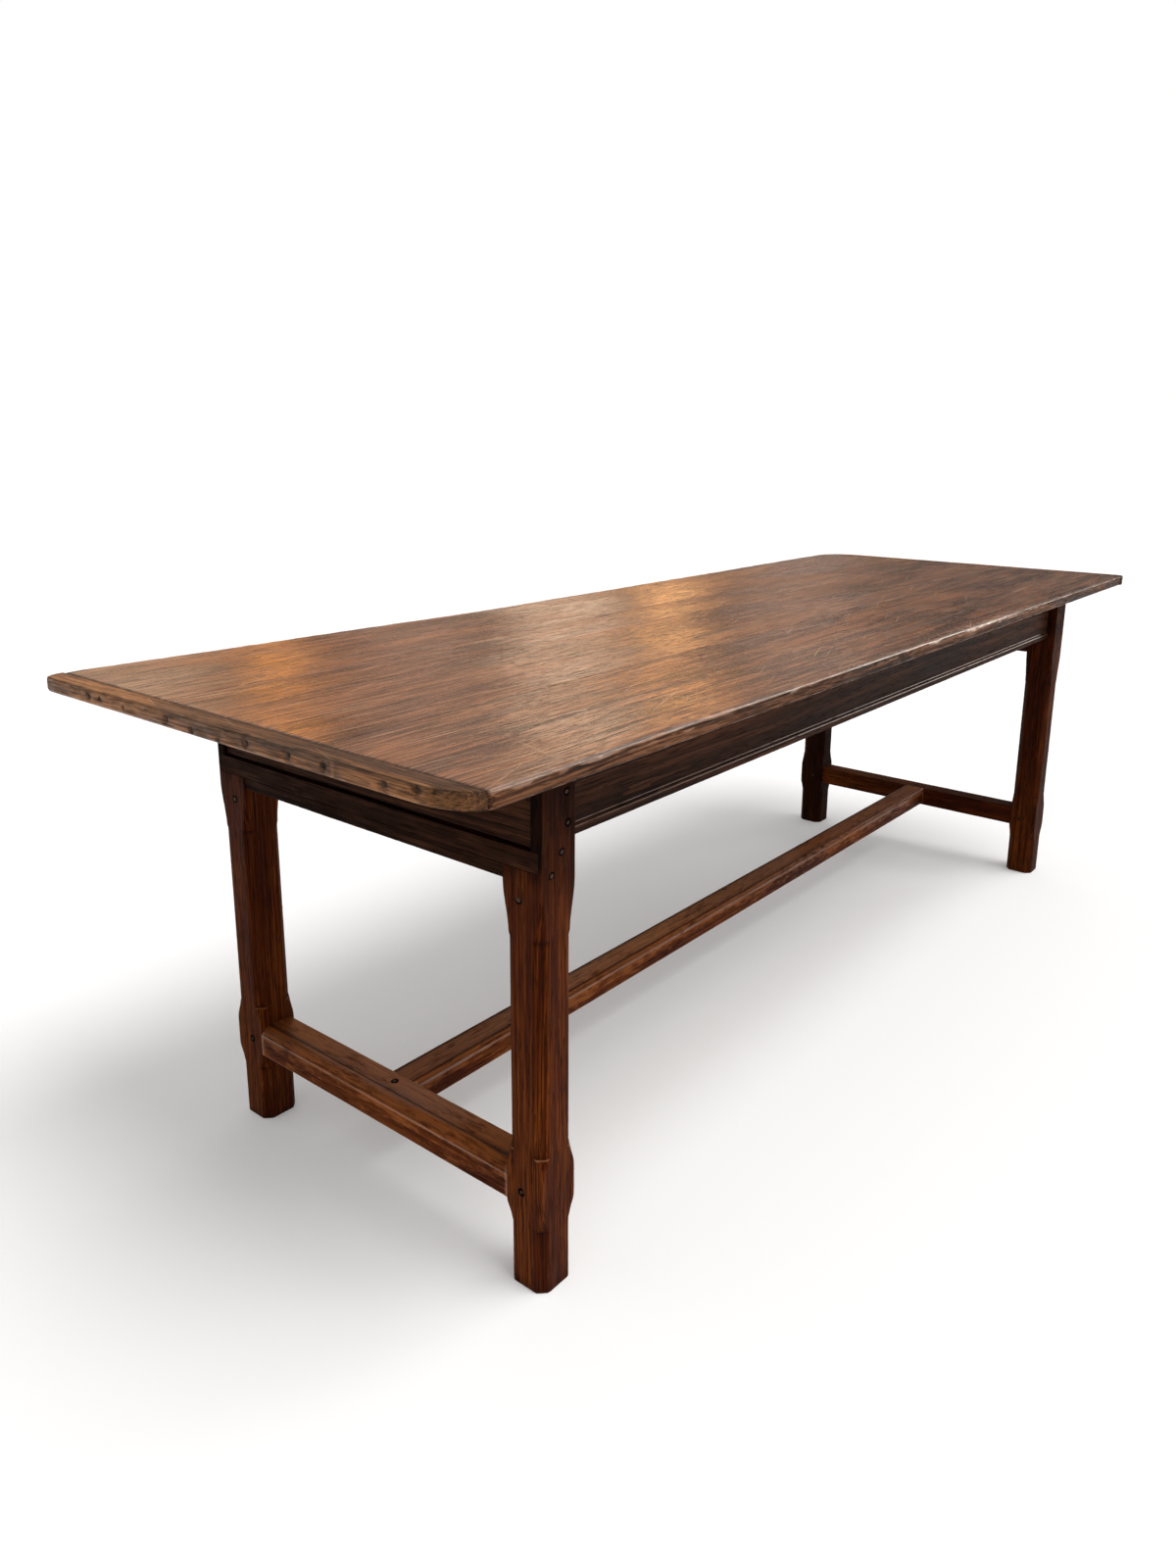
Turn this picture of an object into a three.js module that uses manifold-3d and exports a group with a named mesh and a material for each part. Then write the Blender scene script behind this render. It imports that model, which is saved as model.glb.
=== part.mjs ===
import * as THREE from 'three';
import { mergeVertices } from 'three/addons/utils/BufferGeometryUtils.js';
import Module from 'manifold-3d';

// An old oak farmhouse table: a planked top with breadboard ends on a pegged frame.
// The legs are square posts with stop-chamfered corners, tied by an H of low stretchers.
// One long drawer runs under the top and opens at one end.
//
// All lengths are in millimetres. X runs along the table, Y across it and Z up.
// The drawer end faces -X. The front is the long side that faces -Y.

// Overall sizes.
const TABLE_HEIGHT = 770;
const TOP_LENGTH = 2394;
const TOP_WIDTH = 840;
const TOP_THICKNESS = 23;
const END_OVERHANG = 200;
const SIDE_OVERHANG = 80;
const LEG_SIZE = 65;

// The top is a little wider at the drawer end, where its back edge runs out.
const TOP_FLARE = 52;
const FLARE_SHARE = 0.375;
const FLARE_BEND = 90;

// Two opposite corners of the top are worn round and the other two are nearly square. The worn
// corner at the drawer end runs further along the end than along the side.
const WORN_CORNER = 86;
const DRAWER_CORNER = { alongEnd: 80, alongSide: 45 };
const CRISP_CORNER = 18;
const TOP_ARRIS = 3.5;
const ARC_SHARE = 0.55;

// The four planks, from front to back, and the gap that shrinkage left between them.
const PLANK_SHARES = [0.321, 0.269, 0.137, 0.273];
const PLANK_SEAM = 0.6;

// The breadboard ends run on tongues, and iron nails hold them.
const CLEAT_WIDTH = 33;
const TONGUE_LENGTH = 13;
const TONGUE_THICKNESS = 7;
const TONGUE_INSET = 52;
const NAIL_SHARES = [-0.35, -0.15, -0.05, 0.16, 0.4];
const NAIL_LENGTH = 50;
const NAIL_SHANK = 4;
const NAIL_HEAD = 8;
const NAIL_HEAD_DEPTH = 2.2;

// Clearances between parts that slide or push together by hand.
const FIT = 0.2;
const END_GAP = 1.5;
const PEG_FIT = 0.3;
const RUN_FIT = 0.5;
// Cutters run past the faces that they cut by this much.
const RUN_OUT = 20;

// Stop chamfers of the legs: a scratched nick, and a lamb's tongue that dies out beyond it.
// The nicks are set off from the drawer rail above and from the stretchers below.
const CHAMFER = 12;
const UPPER_NICK_DROP = 71;
const LOWER_NICK_RISE = 35;
const FOOT_NICK_DROP = 27;
const UPPER_TONGUE = 76;
const LOWER_TONGUE = 38;
const FOOT_TONGUE = 30;
const TONGUE_SHARE = 0.8;
const TONGUE_BEND_SHARE = 0.5;

// Long aprons: a plain field over a raised band along the lower edge.
const APRON_DEPTH = 119;
const APRON_THICKNESS = 22;
const APRON_SETBACK = 17;
const APRON_BAND = 11;
const APRON_FIELD = 3.5;
const APRON_SLOPE = 4.5;
const APRON_TENON_LENGTH = 32;
const APRON_TENON_THICKNESS = 10;
const APRON_TENON_SHOULDER = 12;

// The rail under the drawer: a flush band that laps over the faces of the legs and stops just
// short of their outer faces, with a lower strip set back. The board at the far end reaches
// down to the same level.
const END_DEPTH = 165;
const RAIL_STRIP = 21;
const RAIL_BAND = 27;
const RAIL_DEPTH = 48;
const RAIL_STEP = 2;
const RAIL_ARRIS = 3;
const RAIL_LAP = 16;
const RAIL_LAP_STOP = 5;
const RAIL_TENON_LENGTH = 34;
const RAIL_TENON_THICKNESS = 14;
const RAIL_TENON_SHOULDER = 6;
const END_TENON_LENGTH = 28;

// Stretchers.
const STRETCHER_BOTTOM = 124;
const STRETCHER_HEIGHT = 48;
const STRETCHER_WIDTH = 58;
const STRETCHER_TENON_LENGTH = 40;
const STRETCHER_TENON_THICKNESS = 16;
const STRETCHER_TENON_SHOULDER = 9;
const MIDDLE_WIDTH = 56;
const MIDDLE_HEIGHT = 42;
const MIDDLE_SET = 7;
const MIDDLE_TENON_LENGTH = 30;
const MIDDLE_TENON_THICKNESS = 15;
const MIDDLE_TENON_SHOULDER = 11;

// The thumb moulding along an outer arris, with a quirk beside it.
const THUMB_WIDTH = 19;
const THUMB_HEIGHT = 9.5;
const THUMB_FILLET = 1.5;
const SMALL_THUMB_WIDTH = 6.5;
const SMALL_THUMB_HEIGHT = 6;
const SMALL_THUMB_FILLET = 0.8;
const QUIRK_WIDTH = 1.8;
const QUIRK_DEPTH = 1.6;

// Draw-bore pegs and plugs. The upper ones are set down from the top of the legs.
const PEG_RADIUS = 5.5;
const PLUG_RADIUS = 5;
const PEG_PROUD = 0.8;
const APRON_PEG_LENGTH = 50;
const PLUG_LENGTH = 24;
const APRON_PEGS = { upper: { inset: 17, drop: 48 }, lower: { inset: 14, drop: 89 } };
const FRONT_PLUGS = { upper: { inset: 26, drop: 124 }, lower: { inset: 45, drop: 150 } };
const END_PLUG = { inset: 27, drop: 185 };
const STRETCHER_PEG = { inset: 27, rise: 21 };
const MIDDLE_PEG_INSET = 18;

// The drawer.
const DRAWER_LENGTH = 545;
const DRAWER_FRONT_THICKNESS = 20;
const DRAWER_RECESS = 6;
const DRAWER_GAP = 3;
const DRAWER_TOP_GAP = 2;
const DRAWER_END_GAP = 1;
const SIDE_THICKNESS = 12;
const SIDE_CLEARANCE = 7;
const SIDE_TOP_DROP = 8;
const TAIL_LENGTH = 12;
const TAIL_NARROW = 15;
const TAIL_WIDE = 21;
const TAIL_SHARES = [0.2, 0.5, 0.8];
const BOTTOM_THICKNESS = 8;
const BOTTOM_RISE = 11;
const GROOVE_DEPTH = 5;
const BACK_INSET = 14;
const BACK_DROP = 12;

// What the drawer runs on.
const RUNNER_THICKNESS = 16;
const RUNNER_LEDGE = 16;
const GUIDE_CLEARANCE = 1;
const GUIDE_HEIGHT = 14;
const CROSS_RAIL_CLEARANCE = 16;
const CROSS_RAIL_THICKNESS = 22;
const CROSS_RAIL_TENON = 8;
const CROSS_RAIL_SHOULDER = 17;

// The turned knob.
const KNOB_RADIUS = 15;
const KNOB_NECK = 7.5;
const KNOB_FOOT = 9;
const KNOB_PROJECTION = 26;
const KNOB_STEM = 5;
const KNOB_FOOT_SHARE = 0.12;
const KNOB_NECK_SHARE = 0.34;
const KNOB_BELLY_SHARE = 0.68;
const KNOB_DOME_SHARE = 0.93;

// How finely curves are cut into facets.
const CORNER_STEPS = 7;
const TONGUE_STEPS = 5;
const THUMB_STEPS = 5;
const BEVEL_STEPS = 2;
const PEG_SIDES = 8;
const KNOB_SIDES = 20;
const KNOB_STEPS = 10;

// Levels and faces that follow from the sizes.
const underTop = TABLE_HEIGHT - TOP_THICKNESS;
const topMiddle = TABLE_HEIGHT - TOP_THICKNESS / 2;
const halfTop = { x: TOP_LENGTH / 2, y: TOP_WIDTH / 2 };
const outer = { x: halfTop.x - END_OVERHANG, y: halfTop.y - SIDE_OVERHANG };
const inner = { x: outer.x - LEG_SIZE, y: outer.y - LEG_SIZE };
const apronFace = outer.y - APRON_SETBACK;
const apronBack = apronFace - APRON_THICKNESS;
const apronBottom = underTop - APRON_DEPTH;
const railBottom = underTop - END_DEPTH;
const bandBottom = railBottom + RAIL_STRIP;
const railTop = bandBottom + RAIL_BAND;
const stretcherTop = STRETCHER_BOTTOM + STRETCHER_HEIGHT;
const upperNick = railBottom - UPPER_NICK_DROP;
const lowerNick = stretcherTop + LOWER_NICK_RISE;
const footNick = STRETCHER_BOTTOM - FOOT_NICK_DROP;
const notchDepth = DRAWER_RECESS + DRAWER_FRONT_THICKNESS;
const drawerBottom = railTop + DRAWER_GAP;
const drawerTop = underTop - DRAWER_TOP_GAP;
const frontBack = outer.x - notchDepth;
const drawerEnd = outer.x - DRAWER_RECESS - DRAWER_LENGTH;
const sideOuter = inner.y - SIDE_CLEARANCE;
const sideInner = sideOuter - SIDE_THICKNESS;
const runnerTop = drawerBottom - RUN_FIT;
const runnerBottom = runnerTop - RUNNER_THICKNESS;
const crossRailFace = drawerEnd - CROSS_RAIL_CLEARANCE;

const ENDS = { drawer: -1, far: 1 };
const SIDES = { front: -1, back: 1 };

const wasm = await Module();
wasm.setup();

// A closed solid made from a three.js geometry, ready to be cut and joined.
function solid(geometry) {
  geometry.deleteAttribute('normal');
  geometry.deleteAttribute('uv');
  const merged = mergeVertices(geometry);
  return new wasm.Manifold(new wasm.Mesh({
    numProp: 3,
    vertProperties: merged.attributes.position.array,
    triVerts: new Uint32Array(merged.index.array),
  }));
}

// A box between two limits on each axis.
function box([x0, x1], [y0, y1], [z0, z1]) {
  const geometry = new THREE.BoxGeometry(x1 - x0, y1 - y0, z1 - z0);
  geometry.translate((x0 + x1) / 2, (y0 + y1) / 2, (z0 + z1) / 2);
  return solid(geometry);
}

// The limits a to b, measured away from the middle on the side that sign names.
function span(sign, a, b) {
  return sign > 0 ? [a, b] : [-b, -a];
}

// The limits at an equal distance to both sides of a centre.
function around(centre, half) {
  return [centre - half, centre + half];
}

function joined(bodies) {
  return bodies.reduce((whole, body) => whole.add(body));
}

function cut(body, cutters) {
  return cutters.reduce((left, cutter) => left.subtract(cutter), body);
}

// A named mesh whose own origin is at the given point of the table.
function place(body, name, material, origin) {
  const { vertProperties, triVerts } = body.getMesh();
  const geometry = new THREE.BufferGeometry();
  geometry.setAttribute('position', new THREE.BufferAttribute(new Float32Array(vertProperties), 3));
  geometry.setIndex(new THREE.BufferAttribute(new Uint32Array(triVerts), 1));
  geometry.translate(-origin.x, -origin.y, -origin.z);
  const mesh = new THREE.Mesh(geometry.toNonIndexed(), material);
  mesh.geometry.computeVertexNormals();
  mesh.name = name;
  mesh.position.copy(origin);
  return mesh;
}

function at(x, y, z) {
  return new THREE.Vector3(x, y, z);
}

function woodMaterial(color, roughness) {
  return new THREE.MeshStandardMaterial({ color, roughness, metalness: 0 });
}

const materials = {
  top: woodMaterial(0x6b4429, 0.35),
  cleat: woodMaterial(0x5c3d28, 0.4),
  frame: woodMaterial(0x6a3a20, 0.42),
  apron: woodMaterial(0x3f251a, 0.48),
  peg: woodMaterial(0x3a2216, 0.6),
  inside: woodMaterial(0x8a6a48, 0.75),
  iron: new THREE.MeshStandardMaterial({ color: 0x2a2623, roughness: 0.65, metalness: 0.8 }),
};

// The top: one rounded slab, parted into planks and breadboard ends.

// A closed outline through corners. Each is rounded over its own lengths before and after it.
function roundedOutline(corners) {
  const shape = new THREE.Shape();
  corners.forEach(({ point, lengthBefore, lengthAfter }, i) => {
    const before = corners.at(i - 1).point;
    const after = corners.at((i + 1) % corners.length).point;
    const start = before.clone().sub(point).setLength(lengthBefore).add(point);
    const end = after.clone().sub(point).setLength(lengthAfter).add(point);
    const leaving = start.clone().lerp(point, ARC_SHARE);
    const arriving = end.clone().lerp(point, ARC_SHARE);
    if (i === 0) {
      shape.moveTo(start.x, start.y);
    } else {
      shape.lineTo(start.x, start.y);
    }
    shape.bezierCurveTo(leaving.x, leaving.y, arriving.x, arriving.y, end.x, end.y);
  });
  shape.closePath();
  return shape;
}

function topSlab() {
  const flareStart = -halfTop.x + TOP_LENGTH * FLARE_SHARE;
  const corner = (x, y, lengthBefore, lengthAfter = lengthBefore) => (
    { point: new THREE.Vector2(x, y), lengthBefore, lengthAfter }
  );
  const outline = roundedOutline([
    corner(-halfTop.x, -halfTop.y, DRAWER_CORNER.alongEnd, DRAWER_CORNER.alongSide),
    corner(halfTop.x, -halfTop.y, CRISP_CORNER),
    corner(halfTop.x, halfTop.y, WORN_CORNER),
    corner(flareStart, halfTop.y, FLARE_BEND),
    corner(-halfTop.x, halfTop.y + TOP_FLARE, CRISP_CORNER),
  ]);
  const geometry = new THREE.ExtrudeGeometry(outline, {
    depth: TOP_THICKNESS - 2 * TOP_ARRIS,
    curveSegments: CORNER_STEPS,
    bevelThickness: TOP_ARRIS,
    bevelSize: TOP_ARRIS,
    bevelOffset: -TOP_ARRIS,
    bevelSegments: BEVEL_STEPS,
  });
  geometry.translate(0, 0, underTop + TOP_ARRIS);
  return solid(geometry);
}

// The inner face of a breadboard end, where the planks stop.
const plankEnd = halfTop.x - CLEAT_WIDTH;

// Where the tongues and their grooves lie, with room added all round for a groove.
function tongueSpace(end, from, to, room) {
  const depth = TONGUE_LENGTH + (room > 0 ? END_GAP : 0);
  return box(
    span(end, plankEnd - TONGUE_LENGTH, plankEnd + depth),
    [from - room, to + room],
    around(topMiddle, TONGUE_THICKNESS / 2 + room),
  );
}

// A cut nail driven in from the end of the top; room is added all round for its hole.
function nailShape(end, y, room) {
  const head = box(
    span(end, halfTop.x - NAIL_HEAD_DEPTH, halfTop.x + (room > 0 ? RUN_OUT : FIT)),
    around(y, NAIL_HEAD / 2 + room),
    around(topMiddle, NAIL_HEAD / 2 + room),
  );
  const shank = box(
    span(end, halfTop.x - NAIL_LENGTH - room, halfTop.x),
    around(y, NAIL_SHANK / 2 + room),
    around(topMiddle, NAIL_SHANK / 2 + room),
  );
  return head.add(shank);
}

function nailPlaces() {
  return NAIL_SHARES.map((share) => share * TOP_WIDTH);
}

function nailHoles(end) {
  return nailPlaces().map((y) => nailShape(end, y, FIT));
}

function plankJoints() {
  const joints = [-halfTop.y];
  for (const share of PLANK_SHARES) {
    joints.push(joints.at(-1) + share * TOP_WIDTH);
  }
  return joints;
}

function plank(slab, index) {
  const joints = plankJoints();
  const last = PLANK_SHARES.length - 1;
  const from = index === 0 ? joints[0] - RUN_OUT : joints[index] + PLANK_SEAM / 2;
  const to = index === last ? halfTop.y + TOP_FLARE + RUN_OUT : joints[index + 1] - PLANK_SEAM / 2;
  const board = slab.intersect(
    box([-plankEnd, plankEnd], [from, to], [underTop - RUN_OUT, TABLE_HEIGHT + RUN_OUT]),
  );
  const tongueFrom = Math.max(from, -halfTop.y + TONGUE_INSET);
  const tongueTo = Math.min(to, halfTop.y - TONGUE_INSET);
  const tongues = Object.values(ENDS).map((end) => tongueSpace(end, tongueFrom, tongueTo, 0));
  const holes = Object.values(ENDS).flatMap((end) => nailHoles(end));
  return cut(joined([board, ...tongues]), holes);
}

function breadboardEnd(slab, end) {
  const strip = box(
    span(end, plankEnd, halfTop.x + RUN_OUT),
    [-halfTop.y - RUN_OUT, halfTop.y + TOP_FLARE + RUN_OUT],
    [underTop - RUN_OUT, TABLE_HEIGHT + RUN_OUT],
  );
  const groove = tongueSpace(end, -halfTop.y + TONGUE_INSET, halfTop.y - TONGUE_INSET, FIT);
  return cut(slab.intersect(strip), [groove, ...nailHoles(end)]);
}

function tableTop() {
  const group = new THREE.Group();
  group.name = 'table_top';
  const slab = topSlab();
  const joints = plankJoints();
  ['front', 'second', 'third', 'back'].forEach((label, i) => {
    const origin = at(0, (joints[i] + joints[i + 1]) / 2, underTop);
    group.add(place(plank(slab, i), `top_plank_${label}`, materials.top, origin));
  });
  for (const [label, end] of Object.entries(ENDS)) {
    const origin = at(end * (halfTop.x - CLEAT_WIDTH / 2), 0, underTop);
    group.add(place(breadboardEnd(slab, end), `breadboard_end_${label}`, materials.cleat, origin));
    nailPlaces().forEach((y, i) => {
      const head = at(end * halfTop.x, y, topMiddle);
      const name = `breadboard_nail_${label}_${i + 1}`;
      group.add(place(nailShape(end, y, 0), name, materials.iron, head));
    });
  }
  return group;
}

// Pegs and plugs.

// An eight-sided peg along an axis, from a face inwards; room is added all round for its hole.
function pegShape({ axis, face, towards, length, radius, centre, room }) {
  const end = room > 0 ? RUN_OUT : PEG_PROUD;
  const whole = length + end + room;
  const geometry = new THREE.CylinderGeometry(radius + room, radius + room, whole, PEG_SIDES);
  geometry.rotateY(Math.PI / PEG_SIDES);
  if (axis === 'x') geometry.rotateZ(Math.PI / 2);
  if (axis === 'z') geometry.rotateX(Math.PI / 2);
  const middle = centre.clone();
  middle[axis] = face + towards * (whole / 2 - end);
  geometry.translate(middle.x, middle.y, middle.z);
  return solid(geometry);
}

// The peg through an apron's tenon, driven in from the leg's long face.
function apronPeg(end, side, { inset, drop }, room) {
  return pegShape({
    axis: 'y',
    face: side * outer.y,
    towards: -side,
    length: APRON_PEG_LENGTH,
    radius: PEG_RADIUS,
    centre: at(end * (inner.x + inset), 0, underTop - drop),
    room,
  });
}

// A plug in an old hole of a front leg's long face.
function frontPlug(end, { inset, drop }, room) {
  return pegShape({
    axis: 'y',
    face: -outer.y,
    towards: 1,
    length: PLUG_LENGTH,
    radius: PLUG_RADIUS,
    centre: at(end * (inner.x + inset), 0, underTop - drop),
    room,
  });
}

// A plug in the end face of a leg at the drawer end.
function endPlug(side, room) {
  return pegShape({
    axis: 'x',
    face: -outer.x,
    towards: 1,
    length: PLUG_LENGTH,
    radius: PEG_RADIUS,
    centre: at(0, side * (inner.y + END_PLUG.inset), underTop - END_PLUG.drop),
    room,
  });
}

// The peg that runs right through a leg and the end stretcher's tenon.
function stretcherPeg(end, side, room) {
  return pegShape({
    axis: 'x',
    face: end * outer.x,
    towards: -end,
    length: LEG_SIZE + PEG_PROUD + (room > 0 ? RUN_OUT : 0),
    radius: PEG_RADIUS,
    centre: at(0, side * (inner.y + STRETCHER_PEG.inset), STRETCHER_BOTTOM + STRETCHER_PEG.rise),
    room,
  });
}

// The upright peg that locks the middle stretcher into an end stretcher.
function middlePeg(end, room) {
  return pegShape({
    axis: 'z',
    face: stretcherTop,
    towards: -1,
    length: STRETCHER_HEIGHT + (room > 0 ? RUN_OUT : 0),
    radius: PEG_RADIUS,
    centre: at(end * (outer.x - STRETCHER_WIDTH + MIDDLE_PEG_INSET), -MIDDLE_SET, 0),
    room,
  });
}

// The legs.

// A cutter that chamfers one corner between two levels and runs out in a tongue at each.
function stopChamfer(low, high, lowTongue, highTongue) {
  const depth = CHAMFER / Math.SQRT2;
  const tongueDepth = depth * TONGUE_SHARE;
  const shape = new THREE.Shape();
  shape.moveTo(-RUN_OUT, low - lowTongue);
  shape.lineTo(0, low - lowTongue);
  if (lowTongue > 0) {
    const bend = low - lowTongue * TONGUE_BEND_SHARE;
    shape.bezierCurveTo(0, bend, tongueDepth, bend, tongueDepth, low);
  }
  shape.lineTo(depth, low);
  shape.lineTo(depth, high);
  shape.lineTo(tongueDepth, high);
  const bend = high + highTongue * TONGUE_BEND_SHARE;
  shape.bezierCurveTo(tongueDepth, bend, 0, bend, 0, high + highTongue);
  shape.lineTo(-RUN_OUT, high + highTongue);
  shape.closePath();
  const settings = { depth: LEG_SIZE, bevelEnabled: false, curveSegments: TONGUE_STEPS };
  const geometry = new THREE.ExtrudeGeometry(shape, settings);
  geometry.rotateX(Math.PI / 2);
  geometry.translate(-LEG_SIZE / Math.SQRT2, LEG_SIZE / 2, 0);
  return geometry;
}

function legChamfers(end, side) {
  const cutters = [];
  for (const turn of [0, 1, 2, 3]) {
    const shaft = stopChamfer(lowerNick, upperNick, LOWER_TONGUE, UPPER_TONGUE);
    const foot = stopChamfer(-RUN_OUT, footNick, 0, FOOT_TONGUE);
    for (const cutter of [shaft, foot]) {
      cutter.rotateZ(Math.PI / 4 + turn * Math.PI / 2);
      cutter.translate(end * (outer.x - LEG_SIZE / 2), side * (outer.y - LEG_SIZE / 2), 0);
      cutters.push(solid(cutter));
    }
  }
  return cutters;
}

// The tenon of a long apron, or with room the mortise that takes it.
function apronTenon(end, side, room) {
  const middle = apronFace - APRON_THICKNESS / 2;
  return box(
    span(end, inner.x - RUN_OUT, inner.x + APRON_TENON_LENGTH + (room > 0 ? END_GAP : 0)),
    around(side * middle, APRON_TENON_THICKNESS / 2 + room),
    [apronBottom + APRON_TENON_SHOULDER - room, underTop - APRON_TENON_SHOULDER + room],
  );
}

// The tenon of the drawer rail, or with room its mortise. It lies behind the lapped band.
function railTenon(side, room) {
  const middle = outer.x - RAIL_LAP - RAIL_TENON_SHOULDER / 2 - RAIL_TENON_THICKNESS / 2;
  return box(
    around(-middle, RAIL_TENON_THICKNESS / 2 + room),
    span(side, inner.y - RUN_OUT, inner.y + RAIL_TENON_LENGTH + (room > 0 ? END_GAP : 0)),
    [railBottom + RAIL_TENON_SHOULDER - room, railTop - RAIL_TENON_SHOULDER + room],
  );
}

// The tenon of the far end's apron, or with room its mortise.
function endTenon(side, room) {
  const middle = outer.x - APRON_SETBACK - APRON_THICKNESS / 2;
  return box(
    around(middle, APRON_TENON_THICKNESS / 2 + room),
    span(side, inner.y - RUN_OUT, inner.y + END_TENON_LENGTH + room),
    [railBottom + APRON_TENON_SHOULDER - room, underTop - APRON_TENON_SHOULDER + room],
  );
}

// The tenon of an end stretcher, or with room its mortise.
function stretcherTenon(end, side, room) {
  const middle = outer.x - STRETCHER_WIDTH / 2;
  return box(
    around(end * middle, STRETCHER_TENON_THICKNESS / 2 + room),
    span(side, inner.y - RUN_OUT, inner.y + STRETCHER_TENON_LENGTH + (room > 0 ? END_GAP : 0)),
    [
      STRETCHER_BOTTOM + STRETCHER_TENON_SHOULDER - room,
      stretcherTop - STRETCHER_TENON_SHOULDER - THUMB_HEIGHT + room,
    ],
  );
}

// What the drawer end takes out of its legs: the rail's joint and the notch for the front.
function drawerEndCuts(side) {
  const bandLap = box(
    [-outer.x - RUN_OUT, -outer.x + RAIL_LAP],
    span(side, inner.y - RUN_OUT, outer.y - RAIL_LAP_STOP),
    [bandBottom, railTop],
  );
  const notch = box(
    [-outer.x - RUN_OUT, -frontBack],
    span(side, inner.y - RUN_OUT, apronFace),
    [railTop, underTop + RUN_OUT],
  );
  return [bandLap, notch, railTenon(side, FIT), endPlug(side, PEG_FIT)];
}

function leg(end, side) {
  const post = box(span(end, inner.x, outer.x), span(side, inner.y, outer.y), [0, underTop]);
  const cuts = legChamfers(end, side);
  cuts.push(apronTenon(end, side, FIT), stretcherTenon(end, side, FIT));
  cuts.push(...Object.values(APRON_PEGS).map((peg) => apronPeg(end, side, peg, PEG_FIT)));
  cuts.push(stretcherPeg(end, side, PEG_FIT));
  if (side === SIDES.front) {
    cuts.push(...Object.values(FRONT_PLUGS).map((plug) => frontPlug(end, plug, PEG_FIT)));
  }
  if (end === ENDS.drawer) {
    cuts.push(...drawerEndCuts(side));
  } else {
    cuts.push(endTenon(side, FIT));
  }
  return cut(post, cuts);
}

function legs() {
  const group = new THREE.Group();
  group.name = 'legs';
  for (const [endLabel, end] of Object.entries(ENDS)) {
    for (const [sideLabel, side] of Object.entries(SIDES)) {
      const foot = at(end * (outer.x - LEG_SIZE / 2), side * (outer.y - LEG_SIZE / 2), 0);
      const name = `leg_${endLabel}_${sideLabel}`;
      group.add(place(leg(end, side), name, materials.frame, foot));
    }
  }
  return group;
}

// A length of moulding: the profile's x points outwards and its y up, and it runs along Y.
function moulding(profile, length) {
  const shape = new THREE.Shape(profile);
  const settings = { depth: length, bevelEnabled: false };
  const geometry = new THREE.ExtrudeGeometry(shape, settings);
  geometry.rotateX(Math.PI / 2);
  geometry.translate(0, length / 2, 0);
  return geometry;
}

// Points down a thumb moulding, from the flat top at its quirk to the fillet on the face.
function thumb(face, top, width, height, fillet) {
  const points = [
    new THREE.Vector2(face - width - QUIRK_WIDTH, top),
    new THREE.Vector2(face - width - QUIRK_WIDTH / 2, top - QUIRK_DEPTH),
  ];
  const curve = new THREE.EllipseCurve(
    face - width, top - height, width - fillet, height, Math.PI / 2, 0, true,
  );
  points.push(...curve.getPoints(THUMB_STEPS));
  points.push(new THREE.Vector2(face, top - height - fillet));
  return points;
}

// The aprons.

function apronProfile(height) {
  const field = -APRON_FIELD;
  return [
    new THREE.Vector2(-APRON_THICKNESS, 0),
    new THREE.Vector2(0, 0),
    new THREE.Vector2(0, APRON_BAND),
    new THREE.Vector2(field, APRON_BAND + APRON_SLOPE),
    new THREE.Vector2(field, height),
    new THREE.Vector2(-APRON_THICKNESS, height),
  ];
}

function apron(side) {
  const geometry = moulding(apronProfile(underTop - apronBottom), 2 * inner.x);
  geometry.rotateZ(side * Math.PI / 2);
  geometry.translate(0, side * apronFace, apronBottom);
  const board = solid(geometry);
  const ends = Object.values(ENDS);
  const tenons = ends.map((end) => apronTenon(end, side, 0));
  const holes = ends.flatMap(
    (end) => Object.values(APRON_PEGS).map((peg) => apronPeg(end, side, peg, PEG_FIT)),
  );
  return cut(joined([board, ...tenons]), [...holes, crossRailTenon(side, FIT)]);
}

// The deeper board that closes the far end.
function endApron() {
  const geometry = moulding(apronProfile(underTop - railBottom), 2 * inner.y);
  geometry.translate(outer.x - APRON_SETBACK, 0, railBottom);
  return joined([solid(geometry), ...Object.values(SIDES).map((side) => endTenon(side, 0))]);
}

// The rail under the drawer.

function drawerRail() {
  const body = moulding([
    new THREE.Vector2(-RAIL_DEPTH, 0),
    new THREE.Vector2(-RAIL_STEP - RAIL_ARRIS, 0),
    new THREE.Vector2(-RAIL_STEP, RAIL_ARRIS),
    new THREE.Vector2(-RAIL_STEP, RAIL_STRIP),
    new THREE.Vector2(0, RAIL_STRIP),
    new THREE.Vector2(0, RAIL_STRIP + RAIL_BAND),
    new THREE.Vector2(-RAIL_DEPTH, RAIL_STRIP + RAIL_BAND),
  ], 2 * inner.y);
  body.translate(outer.x, 0, railBottom);
  body.rotateZ(Math.PI);
  const band = box(
    [-outer.x, -outer.x + RAIL_LAP],
    around(0, outer.y - RAIL_LAP_STOP),
    [bandBottom, railTop],
  );
  const tenons = Object.values(SIDES).map((side) => railTenon(side, 0));
  return joined([solid(body), band, ...tenons]);
}

// The stretchers.

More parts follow.
